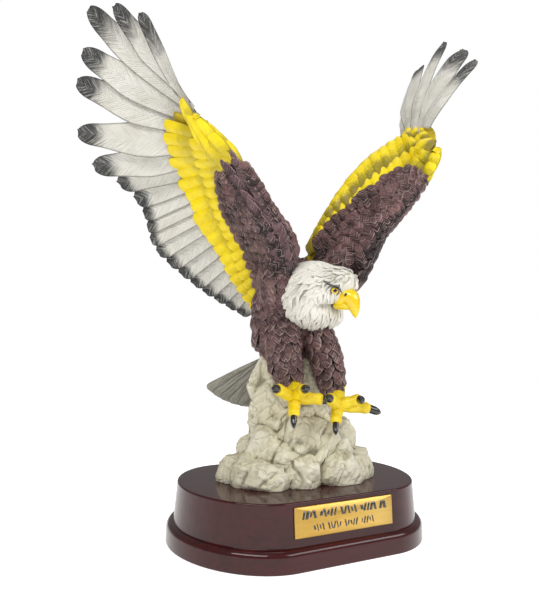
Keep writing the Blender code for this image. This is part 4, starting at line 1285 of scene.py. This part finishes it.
lacquer = Paint("rosewood piano lacquer", Roughness=0.35, Specular_IOR_Level=0.1, Coat_Weight=0.65,
                Coat_Roughness=0.02, Coat_IOR=1.5)
lacquerPlace = lacquer.place()
stretched = lacquer.node("ShaderNodeMapping", {}, {"Vector": lacquerPlace, "Scale": (6.0, 60.0, 60.0)})
figure = lacquer.noise(stretched, 3.0, 5.0, 0.6, 0.6)
flecks = lacquer.noise(lacquerPlace, 900.0, 2.0, 0.5)
lacquerTone = lacquer.mix((figure * 0.8 + flecks * 0.2).step(0.3, 0.7), tone(64, 12, 14), tone(46, 6, 8))
lacquer.feed(Base_Color=lacquerTone)
lacquer.bump(lacquer.noise(lacquerPlace, 25.0, 2.0, 0.4), 0.00004)
finePlinth = makePlinth(lacquer.material)
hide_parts("plinth")

# Plate

plateLook = {"width": 0.0769, "height": 0.0195, "thick": 0.0010, "bevel": 0.0006, "corner": 0.0007,
             "middleX": -0.001, "middleZ": 0.0290}
wallHeight = plinthLook["height"] - plinthLook["stepHeight"]
wallLean = math.atan2(plinthLook["wallTaper"], wallHeight)
wallInset = plinthLook["wallTaper"] * (plateLook["middleZ"] - plinthLook["stepHeight"]) / wallHeight
wallY = -plinthLook["depth"] / 2 + plinthLook["stepInset"] + wallInset - touchGap


# Place on the leaning front wall: right, up along the wall, and out from it.
def onWall(x, z, out):
    return np.stack((plateLook["middleX"] + x, wallY + z * math.sin(wallLean) - out * math.cos(wallLean),
                     plateLook["middleZ"] + z * math.cos(wallLean) + out * math.sin(wallLean)), axis=-1)


# Rounded blocks on the wall, leaning sideways by the slant: rings of a rounded rectangle from low to high, each
# inset by bevel * (1 - (1 - t^2)^(1/2)).
def addWallBlocks(skin, x, z, wide, tall, slant, low, high, corner, bevel, steps=4):
    angle = np.arange(32) * 2 * math.pi / 32
    c, s = np.cos(angle), np.sin(angle)
    x, z, wide, tall, slant = (np.atleast_1d(value)[:, None] for value in (x, z, wide, tall, slant))
    rings = []
    for share in np.linspace(0, 1, steps):
        radius = corner - bevel * (1 - math.sqrt(1 - share**2 * 0.98))
        halfX = (wide / 2 - corner) * np.sign(c) + radius * c
        halfZ = (tall / 2 - corner) * np.sign(s) + radius * s
        rings.append(onWall(x + halfX + halfZ * slant, z + halfZ, low + (high - low) * share + 0 * halfX))
    ends = [ring.mean(axis=1, keepdims=True) for ring in (rings[0], rings[-1])]
    skin.add(np.concatenate((*rings, *ends), axis=1), tubeFaces(steps, 32))


brass = Paint("brushed brass sheet", Metallic=1.0, Roughness=0.34)
brassPlace = brass.place()
brushed = brass.node("ShaderNodeMapping", {}, {"Vector": brassPlace, "Scale": (0.6, 40.0, 40.0)})
hair = brass.noise(brushed, 60.0, 4.0, 0.7)
cloud = brass.noise(brassPlace, 30.0, 3.0, 0.5)
brassColour = brass.mix((hair * 0.6 + cloud * 0.4).step(0.3, 0.7), tone(206, 166, 82), tone(226, 192, 112))
brassSide = brass.node("ShaderNodeSeparateXYZ", {}, (brassPlace,))
# painted shade: the brass darkens towards the plate's left end
shadedLeftBrass = brass.mix(0.35, brassColour, tone(168, 126, 52))
brassColour = brass.mix((brassSide * 12.0 + 0.5).step(0.0, 1.0), shadedLeftBrass, brassColour)
brass.feed(Base_Color=brassColour, Roughness=0.30 + hair * 0.2)
brass.bump(hair, 0.00005)
plateSkin = Skin()
addWallBlocks(plateSkin, 0.0, 0.0, plateLook["width"], plateLook["height"], 0.0, 0.0, plateLook["thick"],
              plateLook["corner"], plateLook["bevel"])
finePlate = plateSkin.finish("fineNamePlate", brass.material, inFigure=False)
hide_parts("name_plate")

# rows: height on the plate, height and width of a stroke, length of the row, number of places
strokeLook = {"rows": [(0.0042, 0.0052, 0.0015, 0.066, 25), (-0.0040, 0.0045, 0.0009, 0.050, 23)],
              "sink": 0.00005, "rise": 0.00012, "bevel": 0.00008, "slant": 0.25}


# Strokes: two rows of short slanted bars in uneven groups, which spell nothing.
def makeStrokes():
    look = strokeLook
    skin = Skin()
    chance = np.random.default_rng(8)
    for height, tall, wide, length, count in look["rows"]:
        x = (np.arange(count) - (count - 1) / 2) * length / count
        x = x[np.arange(count) % 6 != 4]
        n = len(x)
        widths = wide * chance.uniform(0.8, 1.6, n)
        heights = tall * chance.choice((1.0, 1.0, 0.62), n)
        slants = chance.choice((look["slant"], -look["slant"]), n)
        addWallBlocks(skin, x, height + 0 * x, widths, heights, slants, plateLook["thick"] - look["sink"],
                      plateLook["thick"] + look["rise"], wide * 0.25, look["bevel"], 3)
    return skin.finish("plateStrokes", blackPaint, inFigure=False)


makeStrokes()
print("plinth and plate made")


# Stage, light and camera

floorMesh = bpy.data.meshes.new("paleFloor")
floorMesh.from_pydata([(-1.2, -1.2, 0), (1.2, -1.2, 0), (1.2, 1.2, 0), (-1.2, 1.2, 0)], [], [(0, 1, 2, 3)])
floor = bpy.data.objects.new("paleFloor", floorMesh)
bpy.context.scene.collection.objects.link(floor)
floorPaint = Paint("pale studio floor", Roughness=0.9, Base_Color=(0.82, 0.82, 0.82, 1),
                   Emission_Color=(1, 1, 1, 1), Emission_Strength=0.66)
floorMesh.materials.append(floorPaint.material)

bpy.context.scene.view_settings.view_transform = "Standard"
world = bpy.data.worlds.new("studio")
bpy.context.scene.world = world
world.use_nodes = True
studio = world.node_tree
backdrop = studio.nodes["Background"]
backdrop.inputs["Color"].default_value = (1.0, 1.0, 1.0, 1.0)
# white where it is seen directly, dim as a light
seen = studio.nodes.new("ShaderNodeLightPath")
brighter = studio.nodes.new("ShaderNodeMath")
brighter.operation = "MAXIMUM"
brighter.inputs[1].default_value = 0.28
studio.links.new(seen.outputs["Is Camera Ray"], brighter.inputs[0])
studio.links.new(brighter.outputs["Value"], backdrop.inputs["Strength"])

lights = [
    # name, place, aimed at, size, power, colour
    ("key", (-0.95, -0.75, 1.15), (0, 0, 0.2), (1.2, 0.4), 13.0, (1.0, 0.98, 0.95)),
    ("fill", (0.85, -1.15, 0.95), (0, 0, 0.1), (1.5, 0.5), 12.5, (0.97, 0.98, 1.0)),
    ("top", (0.1, 0.3, 1.5), (0, 0, 0.2), (0.8, 0.8), 4.0, (1.0, 1.0, 1.0)),
]
for name, place, target, size, power, colour in lights:
    data = bpy.data.lights.new(name, "AREA")
    data.shape = "RECTANGLE"
    data.size, data.size_y = size
    data.energy = power
    data.color = colour
    light = bpy.data.objects.new(name, data)
    bpy.context.scene.collection.objects.link(light)
    back = unitRows(np.array(place, float) - np.array(target, float))
    sideWay = unitRows(np.cross(up, back))
    axes = np.column_stack((sideWay, np.cross(back, sideWay), back))
    light.matrix_world = Matrix.Translation(place) @ Matrix(axes.tolist()).to_4x4()

cameraLook = {
    "place": (-0.25403, -0.41930, 0.15274), "ahead": (0.481215, 0.876052, 0.031062),
    "right": (0.876190, -0.481774, 0.013607), "lens": 39.089,
}
cameraData = bpy.data.cameras.new("camera")
cameraData.lens = cameraLook["lens"]
cameraData.sensor_width = 36.0
cameraData.clip_start = 0.01
camera = bpy.data.objects.new("camera", cameraData)
bpy.context.scene.collection.objects.link(camera)
ahead, right = np.array(cameraLook["ahead"]), np.array(cameraLook["right"])
cameraAxes = np.column_stack((right, np.cross(right, ahead), -ahead))
camera.matrix_world = Matrix.Translation(cameraLook["place"]) @ Matrix(cameraAxes.tolist()).to_4x4()
bpy.context.scene.camera = camera

bpy.context.view_layer.update()
